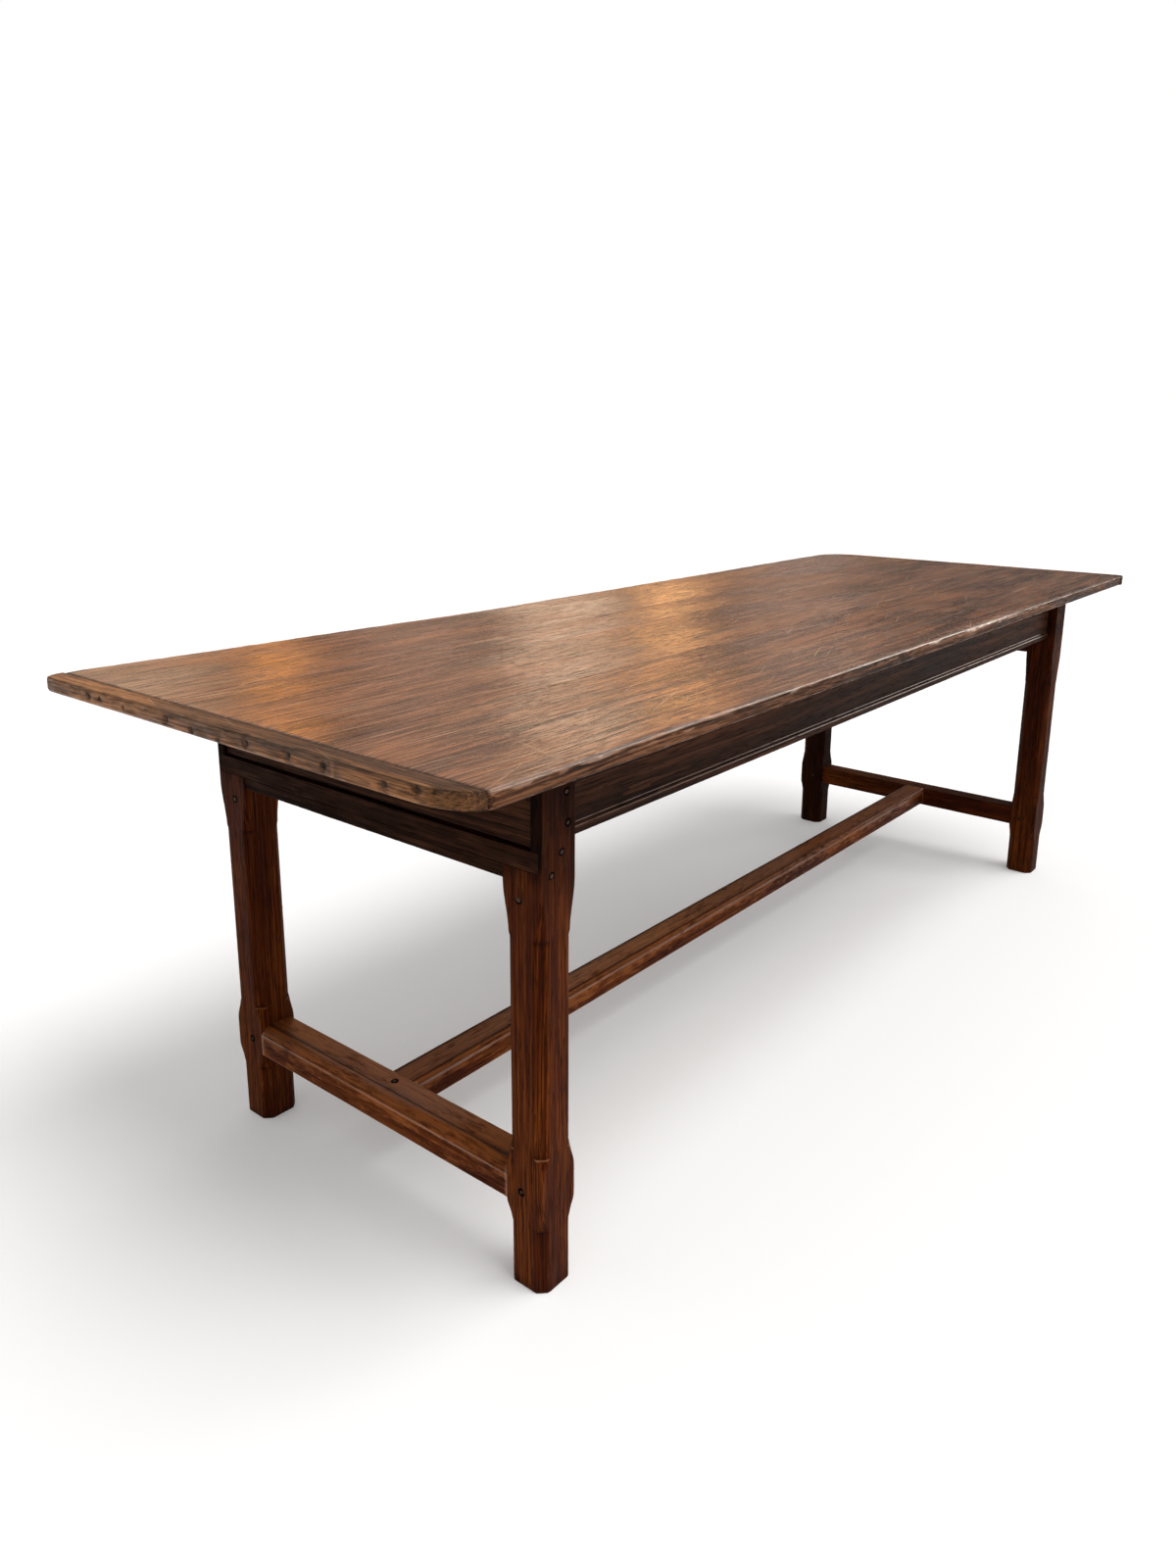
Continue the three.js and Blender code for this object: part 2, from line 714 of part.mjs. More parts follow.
function endStretcher(end) {
  const body = moulding([
    new THREE.Vector2(-STRETCHER_WIDTH, STRETCHER_HEIGHT),
    ...thumb(0, STRETCHER_HEIGHT, THUMB_WIDTH, THUMB_HEIGHT, THUMB_FILLET),
    new THREE.Vector2(0, 0),
    new THREE.Vector2(-STRETCHER_WIDTH, 0),
  ], 2 * inner.y);
  body.translate(outer.x, 0, STRETCHER_BOTTOM);
  if (end < 0) body.rotateZ(Math.PI);
  const sides = Object.values(SIDES);
  const tenons = sides.map((side) => stretcherTenon(end, side, 0));
  const holes = sides.map((side) => stretcherPeg(end, side, PEG_FIT));
  const cuts = [...holes, middleTenon(end, FIT), middlePeg(end, PEG_FIT)];
  return cut(joined([solid(body), ...tenons]), cuts);
}

// The tenon of the middle stretcher, or with room its mortise in an end stretcher.
function middleTenon(end, room) {
  const shoulder = outer.x - STRETCHER_WIDTH;
  const depth = MIDDLE_TENON_LENGTH + (room > 0 ? END_GAP : 0);
  return box(
    span(end, shoulder - RUN_OUT, shoulder + depth),
    around(-MIDDLE_SET, MIDDLE_WIDTH / 2 - MIDDLE_TENON_SHOULDER + room),
    around(stretcherTop - MIDDLE_HEIGHT / 2, MIDDLE_TENON_THICKNESS / 2 + room),
  );
}

function middleStretcher() {
  const half = MIDDLE_WIDTH / 2;
  const right = thumb(half, MIDDLE_HEIGHT, SMALL_THUMB_WIDTH, SMALL_THUMB_HEIGHT, SMALL_THUMB_FILLET);
  const left = right.map((point) => new THREE.Vector2(-point.x, point.y)).reverse();
  const profile = [...left, ...right, new THREE.Vector2(half, 0), new THREE.Vector2(-half, 0)];
  const body = moulding(profile, 2 * (outer.x - STRETCHER_WIDTH));
  body.rotateZ(Math.PI / 2);
  body.translate(0, -MIDDLE_SET, stretcherTop - MIDDLE_HEIGHT);
  const ends = Object.values(ENDS);
  const tenons = ends.map((end) => middleTenon(end, 0));
  return cut(joined([solid(body), ...tenons]), ends.map((end) => middlePeg(end, PEG_FIT)));
}

// What the drawer runs on, inside the frame.

function crossRailTenon(side, room) {
  const depth = CROSS_RAIL_TENON + (room > 0 ? END_GAP : 0);
  return box(
    [-crossRailFace - room, -crossRailFace + CROSS_RAIL_THICKNESS + room],
    span(side, apronBack - RUN_OUT, apronBack + depth),
    [apronBottom + CROSS_RAIL_SHOULDER - room, underTop - CROSS_RAIL_SHOULDER + room],
  );
}

function crossRail() {
  const board = box(
    [-crossRailFace, -crossRailFace + CROSS_RAIL_THICKNESS],
    around(0, apronBack),
    [runnerBottom, underTop],
  );
  return joined([board, ...Object.values(SIDES).map((side) => crossRailTenon(side, 0))]);
}

// An L-shaped runner: the drawer's side slides on the ledge, against the guide.
function runner(side) {
  const ledge = sideInner - (RUNNER_LEDGE - SIDE_THICKNESS);
  const levels = [runnerBottom, runnerTop];
  const railBack = outer.x - RAIL_DEPTH;
  const nose = box([-railBack, -inner.x], span(side, ledge, inner.y), levels);
  const bed = box([-inner.x, -crossRailFace], span(side, ledge, apronBack), levels);
  const guide = box(
    [-inner.x, -crossRailFace],
    span(side, sideOuter + GUIDE_CLEARANCE, apronBack),
    [runnerBottom, runnerTop + GUIDE_HEIGHT],
  );
  return joined([bed, nose, guide]);
}

// The drawer.

const frontFace = -outer.x + DRAWER_RECESS;
const sideTop = drawerTop - SIDE_TOP_DROP;
const bottomRise = [drawerBottom + BOTTOM_RISE, drawerBottom + BOTTOM_RISE + BOTTOM_THICKNESS];

// The dovetails at the front end of a side, or with room their sockets.
function dovetails(side, room) {
  const depth = SIDE_THICKNESS + 2 * room;
  return TAIL_SHARES.map((share) => {
    const middle = drawerBottom + share * (sideTop - drawerBottom);
    const narrow = TAIL_NARROW / 2 + room;
    const wide = TAIL_WIDE / 2 + room;
    const tip = -frontBack - TAIL_LENGTH - room;
    const root = -frontBack + SIDE_THICKNESS;
    const shape = new THREE.Shape([
      new THREE.Vector2(root, middle - narrow),
      new THREE.Vector2(root, middle + narrow),
      new THREE.Vector2(-frontBack, middle + narrow),
      new THREE.Vector2(tip, middle + wide),
      new THREE.Vector2(tip, middle - wide),
      new THREE.Vector2(-frontBack, middle - narrow),
    ]);
    const geometry = new THREE.ExtrudeGeometry(shape, { depth, bevelEnabled: false });
    geometry.rotateX(Math.PI / 2);
    geometry.translate(0, depth / 2 + side * (sideInner + SIDE_THICKNESS / 2), 0);
    return solid(geometry);
  });
}

// The bottom board, or with room the grooves that it slides in from the back.
function bottomBoard(room) {
  return box(
    [-frontBack - GROOVE_DEPTH - room, -drawerEnd + (room > 0 ? RUN_OUT : 0)],
    around(0, sideInner + GROOVE_DEPTH + room),
    [bottomRise[0] - room, bottomRise[1] + room],
  );
}

// The back board, or with room the housings that its ends drop into.
function backBoard(room) {
  const back = -drawerEnd - BACK_INSET;
  return box(
    [back - SIDE_THICKNESS - room, back + room],
    around(0, sideInner + GROOVE_DEPTH + room),
    [bottomRise[1], room > 0 ? sideTop + RUN_OUT : sideTop - BACK_DROP],
  );
}

function knobHeight() {
  return (drawerBottom + drawerTop) / 2;
}

// A turned knob with a stem right through the drawer front.
function knob() {
  const head = new THREE.SplineCurve([
    new THREE.Vector2(KNOB_FOOT, KNOB_PROJECTION * KNOB_FOOT_SHARE),
    new THREE.Vector2(KNOB_NECK, KNOB_PROJECTION * KNOB_NECK_SHARE),
    new THREE.Vector2(KNOB_RADIUS, KNOB_PROJECTION * KNOB_BELLY_SHARE),
    new THREE.Vector2(KNOB_RADIUS * KNOB_BELLY_SHARE, KNOB_PROJECTION * KNOB_DOME_SHARE),
    new THREE.Vector2(0, KNOB_PROJECTION),
  ]);
  const profile = [
    new THREE.Vector2(0, -DRAWER_FRONT_THICKNESS),
    new THREE.Vector2(KNOB_STEM, -DRAWER_FRONT_THICKNESS),
    new THREE.Vector2(KNOB_STEM, 0),
    new THREE.Vector2(KNOB_FOOT, 0),
    ...head.getPoints(KNOB_STEPS),
  ];
  const geometry = new THREE.LatheGeometry(profile, KNOB_SIDES);
  geometry.rotateZ(Math.PI / 2);
  geometry.translate(frontFace, 0, knobHeight());
  return solid(geometry);
}

function knobHole() {
  const radius = KNOB_STEM + FIT;
  const length = DRAWER_FRONT_THICKNESS + 2 * RUN_OUT;
  const geometry = new THREE.CylinderGeometry(radius, radius, length, KNOB_SIDES);
  geometry.rotateZ(Math.PI / 2);
  geometry.translate(frontFace + DRAWER_FRONT_THICKNESS / 2, 0, knobHeight());
  return solid(geometry);
}

function drawerFront() {
  const board = box(
    [frontFace, -frontBack],
    around(0, apronFace - DRAWER_END_GAP),
    [drawerBottom, drawerTop],
  );
  const sockets = Object.values(SIDES).flatMap((side) => dovetails(side, FIT));
  return cut(board, [...sockets, bottomBoard(FIT), knobHole()]);
}

function drawerSide(side) {
  const board = box(
    [-frontBack, -drawerEnd],
    span(side, sideInner, sideOuter),
    [drawerBottom, sideTop],
  );
  return cut(joined([board, ...dovetails(side, 0)]), [bottomBoard(FIT), backBoard(FIT)]);
}

function drawer() {
  const group = new THREE.Group();
  group.name = 'drawer';
  const middle = (-frontBack - drawerEnd) / 2;
  const { frame, apron: dark, inside } = materials;
  group.add(place(drawerFront(), 'drawer_front', dark, at(frontFace, 0, drawerBottom)));
  for (const [label, side] of Object.entries(SIDES)) {
    const origin = at(middle, side * sideOuter, drawerBottom);
    group.add(place(drawerSide(side), `drawer_side_${label}`, inside, origin));
  }
  group.add(place(backBoard(0), 'drawer_back', inside, at(-drawerEnd - BACK_INSET, 0, bottomRise[1])));
  group.add(place(bottomBoard(0), 'drawer_bottom', inside, at(middle, 0, bottomRise[0])));
  group.add(place(knob(), 'drawer_knob', frame, at(frontFace, 0, knobHeight())));
  return group;
}

function frame() {
  const group = new THREE.Group();
  group.name = 'frame';
  for (const [label, side] of Object.entries(SIDES)) {
    const face = at(0, side * apronFace, apronBottom);
    group.add(place(apron(side), `apron_${label}`, materials.apron, face));
    const bed = at(-inner.x, side * apronBack, runnerBottom);
    group.add(place(runner(side), `drawer_runner_${label}`, materials.inside, bed));
  }
  for (const [label, end] of Object.entries(ENDS)) {
    const stretcherFace = at(end * outer.x, 0, STRETCHER_BOTTOM);
    group.add(place(endStretcher(end), `end_stretcher_${label}`, materials.frame, stretcherFace));
  }
  const railFace = at(-outer.x, 0, railBottom);
  group.add(place(drawerRail(), 'drawer_rail', materials.apron, railFace));
  const endFace = at(outer.x - APRON_SETBACK, 0, railBottom);
  group.add(place(endApron(), 'end_apron_far', materials.apron, endFace));
  const railMiddle = at(-crossRailFace, 0, runnerBottom);
  group.add(place(crossRail(), 'cross_rail', materials.inside, railMiddle));
  const bar = at(0, -MIDDLE_SET, stretcherTop - MIDDLE_HEIGHT);
  group.add(place(middleStretcher(), 'middle_stretcher', materials.frame, bar));
  return group;
}

function pegs() {
  const group = new THREE.Group();
  group.name = 'pegs';
  const add = (body, name, face) => group.add(place(body, name, materials.peg, face));
  for (const [endLabel, end] of Object.entries(ENDS)) {
    for (const [sideLabel, side] of Object.entries(SIDES)) {
      const label = `${endLabel}_${sideLabel}`;
      for (const [level, peg] of Object.entries(APRON_PEGS)) {
        const face = at(end * (inner.x + peg.inset), side * outer.y, underTop - peg.drop);
        add(apronPeg(end, side, peg, 0), `apron_peg_${label}_${level}`, face);
      }
      const { inset, rise } = STRETCHER_PEG;
      const face = at(end * outer.x, side * (inner.y + inset), STRETCHER_BOTTOM + rise);
      add(stretcherPeg(end, side, 0), `stretcher_peg_${label}`, face);
    }
    for (const [level, plug] of Object.entries(FRONT_PLUGS)) {
      const face = at(end * (inner.x + plug.inset), -outer.y, underTop - plug.drop);
      add(frontPlug(end, plug, 0), `leg_plug_${endLabel}_front_${level}`, face);
    }
    const top = at(end * (outer.x - STRETCHER_WIDTH + MIDDLE_PEG_INSET), -MIDDLE_SET, stretcherTop);
    add(middlePeg(end, 0), `middle_stretcher_peg_${endLabel}`, top);
  }
  for (const [sideLabel, side] of Object.entries(SIDES)) {
    const face = at(-outer.x, side * (inner.y + END_PLUG.inset), underTop - END_PLUG.drop);
    add(endPlug(side, 0), `leg_end_plug_${sideLabel}`, face);
  }
  return group;
}

// The whole table stands on the floor with the middle of its outline over the origin.
const table = new THREE.Group();
table.name = 'farmhouse_table';
table.add(tableTop(), legs(), frame(), pegs(), drawer());
const outline = new THREE.Box3().setFromObject(table);
table.position.y = -(outline.min.y + outline.max.y) / 2;

export default table;
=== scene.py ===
# %% [markdown]
# # An old oak farmhouse table, dressed in Blender
#
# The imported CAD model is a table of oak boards, posts and pegs, with one drawer. Its solids
# have the right size and the right joints, but every face is flat and every arris is sharp.
# This lesson keeps each piece where the CAD puts it and gives it the surface of old waxed
# oak: rubbed arrises, gouges, open grain, dark wax in the corners and a worn, glossy top.

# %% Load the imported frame
import math

import bmesh
import bpy
import numpy as np
from mathutils import Matrix, Vector, noise


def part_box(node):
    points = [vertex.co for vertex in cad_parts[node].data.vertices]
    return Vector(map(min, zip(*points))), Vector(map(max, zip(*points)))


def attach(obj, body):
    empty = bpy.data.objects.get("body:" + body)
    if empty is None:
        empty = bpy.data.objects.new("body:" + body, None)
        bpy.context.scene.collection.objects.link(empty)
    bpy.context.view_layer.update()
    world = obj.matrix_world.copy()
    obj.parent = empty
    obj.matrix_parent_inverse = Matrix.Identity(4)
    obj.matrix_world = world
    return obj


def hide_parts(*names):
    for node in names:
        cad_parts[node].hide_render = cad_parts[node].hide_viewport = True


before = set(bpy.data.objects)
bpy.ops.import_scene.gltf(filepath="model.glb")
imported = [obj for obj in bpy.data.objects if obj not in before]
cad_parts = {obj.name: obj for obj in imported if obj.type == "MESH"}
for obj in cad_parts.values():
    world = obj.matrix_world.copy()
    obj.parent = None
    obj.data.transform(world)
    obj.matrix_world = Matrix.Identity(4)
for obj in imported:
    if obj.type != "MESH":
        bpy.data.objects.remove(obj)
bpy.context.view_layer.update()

# %% [markdown]
# ## The camera
#
# The photograph was taken with a wide lens from just above the table, close to one corner.
# The place, the turn and the focal length below came from fitting a camera to the corners of
# the table. Blender measures the lens against the longer side of the frame, which is the
# height of this upright picture, and the small shift puts the lens's axis where it was.

# %% Set the camera
PHOTO_HEIGHT_PX = 1600
FOCAL_PX = 1139.3
AXIS_OFFSET_PX = (7.0, -76.4)
CAMERA_PLACE = Vector((-1.93699, -1.20266, 1.12219))
HEADING = 0.68976
DOWNWARD = 0.24251
ROLL = 0.00406

camera_data = bpy.data.cameras.new("camera")
camera_data.sensor_width = 36
camera_data.lens = FOCAL_PX / PHOTO_HEIGHT_PX * camera_data.sensor_width
camera_data.shift_x = AXIS_OFFSET_PX[0] / PHOTO_HEIGHT_PX
camera_data.shift_y = AXIS_OFFSET_PX[1] / PHOTO_HEIGHT_PX
camera_data.clip_end = 200
camera = bpy.data.objects.new("camera", camera_data)
bpy.context.scene.collection.objects.link(camera)
bpy.context.scene.camera = camera

forward = Vector(
    (
        math.cos(DOWNWARD) * math.cos(HEADING),
        math.cos(DOWNWARD) * math.sin(HEADING),
        -math.sin(DOWNWARD),
    )
)
right = Vector((math.sin(HEADING), -math.cos(HEADING), 0))
up = right.cross(forward)
turn = Matrix((right, up, -forward)).transposed().to_4x4()
camera.matrix_world = (
    Matrix.Translation(CAMERA_PLACE) @ turn @ Matrix.Rotation(ROLL, 4, "Z")
)
print("lens, mm:", round(camera_data.lens, 2))

# %% [markdown]
# ## Wiring nodes by name
#
# Shaders and Geometry Nodes are both graphs. A small helper that adds a node and fills its
# inputs by name, with a number or with another node's output, keeps each tree below short
# enough to read from top to bottom like a recipe. Two more start a node group, with its named
# sockets, and an empty material.


# %% A helper for node trees
class Wiring:
    """Adds nodes to one tree. An input takes a plain value or another node's output."""

    def __init__(self, tree):
        self.tree = tree

    def fill(self, socket, value):
        if isinstance(value, bpy.types.NodeSocket):
            self.tree.links.new(value, socket)
        else:
            socket.default_value = value

    def node(self, kind, values=None, **settings):
        made = self.tree.nodes.new(kind)
        for name, value in settings.items():
            setattr(made, name, value)
        for name, value in (values or {}).items():
            self.fill(made.inputs[name], value)
        return made

    def math(self, operation, *values, clamp=False):
        made = self.node("ShaderNodeMath", operation=operation, use_clamp=clamp)
        for socket, value in zip(made.inputs, values):
            self.fill(socket, value)
        return made.outputs[0]

    def plus(self, first, second, clamp=False):
        return self.math("ADD", first, second, clamp=clamp)

    def minus(self, first, second):
        return self.math("SUBTRACT", first, second)

    def times(self, first, second):
        return self.math("MULTIPLY", first, second)

    def vector(self, operation, *values):
        made = self.node("ShaderNodeVectorMath", operation=operation)
        for socket, value in zip(made.inputs, values):
            self.fill(socket, value)
        return made.outputs[0]

    def soft_step(self, value, low, high, start=0.0, end=1.0):
        made = self.node("ShaderNodeMapRange", interpolation_type="SMOOTHSTEP")
        for name, given in (
            ("Value", value),
            ("From Min", low),
            ("From Max", high),
            ("To Min", start),
            ("To Max", end),
        ):
            self.fill(made.inputs[name], given)
        return made.outputs[0]

    def mix(self, factor, first, second, blend="MIX"):
        made = self.node("ShaderNodeMix", data_type="RGBA", blend_type=blend)
        self.fill(made.inputs[0], factor)
        self.fill(made.inputs[6], first)
        self.fill(made.inputs[7], second)
        return made.outputs[2]

    def noise(self, vector, scale, detail=2.0, roughness=0.5):
        values = {
            "Vector": vector,
            "Scale": scale,
            "Detail": detail,
            "Roughness": roughness,
        }
        return self.node("ShaderNodeTexNoise", values).outputs[0]


def new_group(name, kind, inputs, outputs):
    """A node group with named sockets; returns the tree, its wiring and its two ends."""
    tree = bpy.data.node_groups.new(name, kind)
    for socket_name, socket_kind, default in inputs:
        socket = tree.interface.new_socket(
            name=socket_name, in_out="INPUT", socket_type=socket_kind
        )
        if default is not None:
            socket.default_value = default
    for socket_name, socket_kind in outputs:
        tree.interface.new_socket(
            name=socket_name, in_out="OUTPUT", socket_type=socket_kind
        )
    wiring = Wiring(tree)
    start = wiring.node("NodeGroupInput").outputs
    end = wiring.node("NodeGroupOutput").inputs
    return tree, wiring, start, end


def new_finish(name):
    """An empty material and the wiring of its node tree."""
    material = bpy.data.materials.new(name)
    material.use_nodes = True
    material.node_tree.nodes.clear()
    return material, Wiring(material.node_tree)


print("wiring helpers ready")

# %% [markdown]
# ## The figure of oak
#
# Oak shows three things at once: broad growth rings that run the length of a board, short
# dark pores that lie along them, and slow changes of colour. All three follow the wood and
# not the piece's outline, so each finished mesh carries an attribute named grain: how far
# along the fibres a point lies, and where it lies across them. The group stretches its
# textures along the first of these, so ends of boards show end grain with no extra work. The
# counts below say how many of each mark there are in a metre, along and across the grain.

# %% Group: oak figure
PORE_COUNTS = (14.0, 620.0, 620.0)
FLECK_COUNTS = (34.0, 300.0, 300.0)
CLOUD_COUNTS = (2.4, 9.0, 9.0)
STREAKS_ALONG = 5.0
FINE_STREAKS, BROAD_STREAKS = 0.75, 0.25
GRAIN_INPUTS = (
    ("Grain", "NodeSocketVector", None),
    ("Rings per Metre", "NodeSocketFloat", 50.0),
    ("Waviness", "NodeSocketFloat", 3.0),
    ("Lines per Metre", "NodeSocketFloat", 240.0),
)
GRAIN_OUTPUTS = (
    ("Rings", "NodeSocketFloat"),
    ("Pores", "NodeSocketFloat"),
    ("Streaks", "NodeSocketFloat"),
    ("Cloud", "NodeSocketFloat"),
)
oak_figure, w, given, result = new_group(
    "oak figure", "ShaderNodeTree", GRAIN_INPUTS, GRAIN_OUTPUTS
)
along = w.vector("MULTIPLY", given["Grain"], (1.1, 7.0, 7.0))
sway = w.node("ShaderNodeTexNoise", {"Vector": along, "Scale": 1.0, "Detail": 2.0})
sway = w.vector("SUBTRACT", sway.outputs["Color"], (0.5, 0.5, 0.5))
sway = w.vector("MULTIPLY", sway, (0.0, 0.03, 0.03))
fibre = w.vector("MULTIPLY", given["Grain"], (0.035, 1.0, 1.0))
fibre = w.vector("ADD", fibre, sway)
rings = w.node(
    "ShaderNodeTexWave",
    {
        "Vector": fibre,
        "Scale": given["Rings per Metre"],
        "Distortion": given["Waviness"],
        "Detail": 3.0,
        "Detail Scale": 1.2,
        "Detail Roughness": 0.6,
    },
    wave_type="RINGS",
    rings_direction="X",
    wave_profile="SAW",
)
w.fill(result["Rings"], rings.outputs[1])
pore_place = w.vector("MULTIPLY", given["Grain"], PORE_COUNTS)
pores = w.soft_step(w.noise(pore_place, 1.0, 2.0, 0.6), 0.53, 0.68)
fleck_place = w.vector("MULTIPLY", given["Grain"], FLECK_COUNTS)
flecks = w.soft_step(w.noise(fleck_place, 1.0, 1.0, 0.5), 0.59, 0.68, 0.0, 0.65)
w.fill(result["Pores"], w.math("MAXIMUM", pores, flecks))
line_count = w.node(
    "ShaderNodeCombineXYZ",
    {"X": STREAKS_ALONG, "Y": given["Lines per Metre"], "Z": given["Lines per Metre"]},
)
swayed = w.vector("ADD", given["Grain"], sway)
streak_place = w.vector("MULTIPLY", swayed, line_count.outputs[0])
fine = w.noise(streak_place, 1.0, 3.0, 0.55)
broad = w.noise(w.vector("MULTIPLY", streak_place, (0.6, 0.4, 0.4)), 1.0, 2.0, 0.5)
fine = w.times(fine, FINE_STREAKS)
broad = w.times(broad, BROAD_STREAKS)
w.fill(result["Streaks"], w.plus(fine, broad))
cloud_place = w.vector("MULTIPLY", given["Grain"], CLOUD_COUNTS)
w.fill(result["Cloud"], w.noise(cloud_place, 1.0, 3.0, 0.55))
print("group:", oak_figure.name, [s.name for s in oak_figure.interface.items_tree])

# %% [markdown]
# ## A waxed and handled surface
#
# Two centuries of wax and hands leave their own marks. Arrises are rubbed paler and shine,
# and inner corners fill with dark wax. The next group mixes the wood's tones from the figure
# and then lays both kinds of wear over them. It reads two more attributes of the mesh,
# rub and grime, each from 0 to 1, and gives a colour, a roughness, a
# height for the bump and a polish for the coat. Besides real wear, the first carries painted
# highlights, which are pale lines laid on some arrises where light glints. Besides real dirt,
# the second carries painted shade, which is darkening laid on parts that sit in the table's
# shadow.

# %% Group: waxed wear, its sockets
WEAR_INPUTS = (
    ("Grain", "NodeSocketVector", None),
    ("Rings", "NodeSocketFloat", 0.5),
    ("Pores", "NodeSocketFloat", 0.0),
    ("Streaks", "NodeSocketFloat", 0.5),
    ("Cloud", "NodeSocketFloat", 0.5),
    ("Dark Tone", "NodeSocketColor", None),
    ("Middle Tone", "NodeSocketColor", None),
    ("Light Tone", "NodeSocketColor", None),
    ("Rubbed Tone", "NodeSocketColor", None),
    ("Pore Tone", "NodeSocketColor", None),
    ("Ring Share", "NodeSocketFloat", 0.35),
    ("Streak Share", "NodeSocketFloat", 0.3),
    ("Cloud Share", "NodeSocketFloat", 0.3),
    ("Scratches", "NodeSocketFloat", 0.0),
    ("Roughness", "NodeSocketFloat", 0.4),
    ("Rub Share", "NodeSocketFloat", 0.5),
    ("Grime Share", "NodeSocketFloat", 0.7),
)
WEAR_OUTPUTS = (
    ("Colour", "NodeSocketColor"),
    ("Roughness", "NodeSocketFloat"),
    ("Height", "NodeSocketFloat"),
    ("Polish", "NodeSocketFloat"),
)
waxed_wear, w, given, result = new_group(
    "waxed wear", "ShaderNodeTree", WEAR_INPUTS, WEAR_OUTPUTS
)
print("group:", waxed_wear.name, len(WEAR_INPUTS), "inputs")

# %% [markdown]
# The wood's own tone comes first. Rings, streaks and clouds each push one number up or down
# from the middle, by the share that the finish gives them, and two mixes turn that number
# into the dark, the middle and the light tone. The pores are laid on top.

# %% Mix the wood's tones
PORE_DEPTH_OF_TONE = 0.75
tone = w.times(w.minus(given["Rings"], 0.5), given["Ring Share"])
streaks = w.soft_step(given["Streaks"], 0.40, 0.60, -0.5, 0.5)
tone = w.plus(tone, w.times(streaks, given["Streak Share"]))
clouds = w.soft_step(given["Cloud"], 0.36, 0.64, -0.5, 0.5)
tone = w.plus(tone, w.times(clouds, given["Cloud Share"]))
tone = w.plus(tone, 0.5, clamp=True)
low_half = w.mix(w.soft_step(tone, 0.0, 0.5), given["Dark Tone"], given["Middle Tone"])
wood = w.mix(w.soft_step(tone, 0.40, 0.92), low_half, given["Light Tone"])
pore_share = w.times(given["Pores"], PORE_DEPTH_OF_TONE)
wood = w.mix(pore_share, wood, given["Pore Tone"])
print("tones mixed")

# %% [markdown]
# Rubbed oak is paler than the wood beside it and still shows its figure, so it is half a
# plain tone and half the figure made brighter. Two sizes of noise, patches and small chips,
# break up the line where the rubbed part ends. Where a piece marks a painted highlight on an
# arris, the same pale mix paints it.

# %% Rub the arrises
PATCH_COUNTS = (14.0, 40.0, 40.0)
CHIP_COUNTS = (38.0, 150.0, 150.0)
BRIGHTER = (2.6, 2.6, 2.6, 1)
rub = w.node("ShaderNodeAttribute", attribute_name="rub").outputs["Fac"]
patchy = w.noise(w.vector("MULTIPLY", given["Grain"], PATCH_COUNTS), 1.0, 3.0)
chips = w.noise(w.vector("MULTIPLY", given["Grain"], CHIP_COUNTS), 1.0, 3.0, 0.6)
chips = w.minus(chips, 0.5)
rub_and_highlight_mask = w.plus(rub, w.times(w.minus(patchy, 0.5), 0.9))
rub_and_highlight_mask = w.plus(rub_and_highlight_mask, w.times(chips, 1.3))
rub_and_highlight_mask = w.soft_step(rub_and_highlight_mask, 0.38, 0.85)
paler_figure = w.mix(1.0, wood, BRIGHTER, blend="MULTIPLY")
rubbed_and_highlit = w.mix(0.5, given["Rubbed Tone"], paler_figure)
wood = w.mix(w.times(rub_and_highlight_mask, given["Rub Share"]), wood, rubbed_and_highlit)
print("arrises rubbed")

# %% [markdown]
# Plates and knives leave scratches that are long, thin and straight, at any angle to the
# grain. A noise that is stretched a long way gives such lines, and only its highest streaks
# are kept. The first set lies nearly along the grain, where most of them are.

# %% Scratch the top
SCRATCH_SETS = (  # angle in radians, start, lines in a metre, rarity
    (0.06, (0, 0, 0), 240.0, 0.72),
    (-0.35, (3, 1, 0), 220.0, 0.77),
    (0.55, (6, 2, 0), 220.0, 0.79),
    (1.15, (9, 4, 0), 210.0, 0.80),
    (-1.30, (5, 8, 0), 210.0, 0.80),
)
SCRATCHES_ALONG = 5.0
SCRATCH_SOFTNESS = 0.05


def scratches(angle, start, lines, rarity):
    """Straight thin lines at an angle to the grain: the highest streaks of a long noise."""
    place = w.vector("ADD", given["Grain"], start)
    turned = w.node(
        "ShaderNodeVectorRotate", {"Vector": place, "Angle": angle}, rotation_type="Z_AXIS"
    )
    counts = (SCRATCHES_ALONG, lines, SCRATCHES_ALONG)
    place = w.vector("MULTIPLY", turned.outputs[0], counts)
    return w.soft_step(w.noise(place, 1.0, 0.0), rarity, rarity + SCRATCH_SOFTNESS)


scratch = scratches(*SCRATCH_SETS[0])
for scratch_set in SCRATCH_SETS[1:]:
    scratch = w.math("MAXIMUM", scratch, scratches(*scratch_set))
scratch = w.times(scratch, given["Scratches"])
wood = w.mix(scratch, wood, given["Rubbed Tone"])
print("sets of scratches:", len(SCRATCH_SETS))

# %% [markdown]
# Dark wax and dust fill the inner corners and the joints, and painted shade darkens the parts
# that sit in the table's shadow. Both come in grime. A little of it comes and goes
# in patches, and a lot of it covers all. The sheen and the height for the bump then follow
# from the same masks: pores, grime and painted shade are dull, rubbed wood shines, and a
# scratch is a dent.

# %% Lay the grime and painted shade, and give sheen and relief
SHEEN_LIMITS = (0.12, 0.9)
grime = w.node("ShaderNodeAttribute", attribute_name="grime").outputs["Fac"]
grime_and_shade_mask = w.times(grime, w.soft_step(patchy, 0.15, 0.6))
grime_and_shade_mask = w.math("MAXIMUM", grime_and_shade_mask, w.soft_step(grime, 0.6, 1.0))
wood = w.mix(w.times(grime_and_shade_mask, given["Grime Share"]), wood, given["Pore Tone"])
w.fill(result["Colour"], wood)

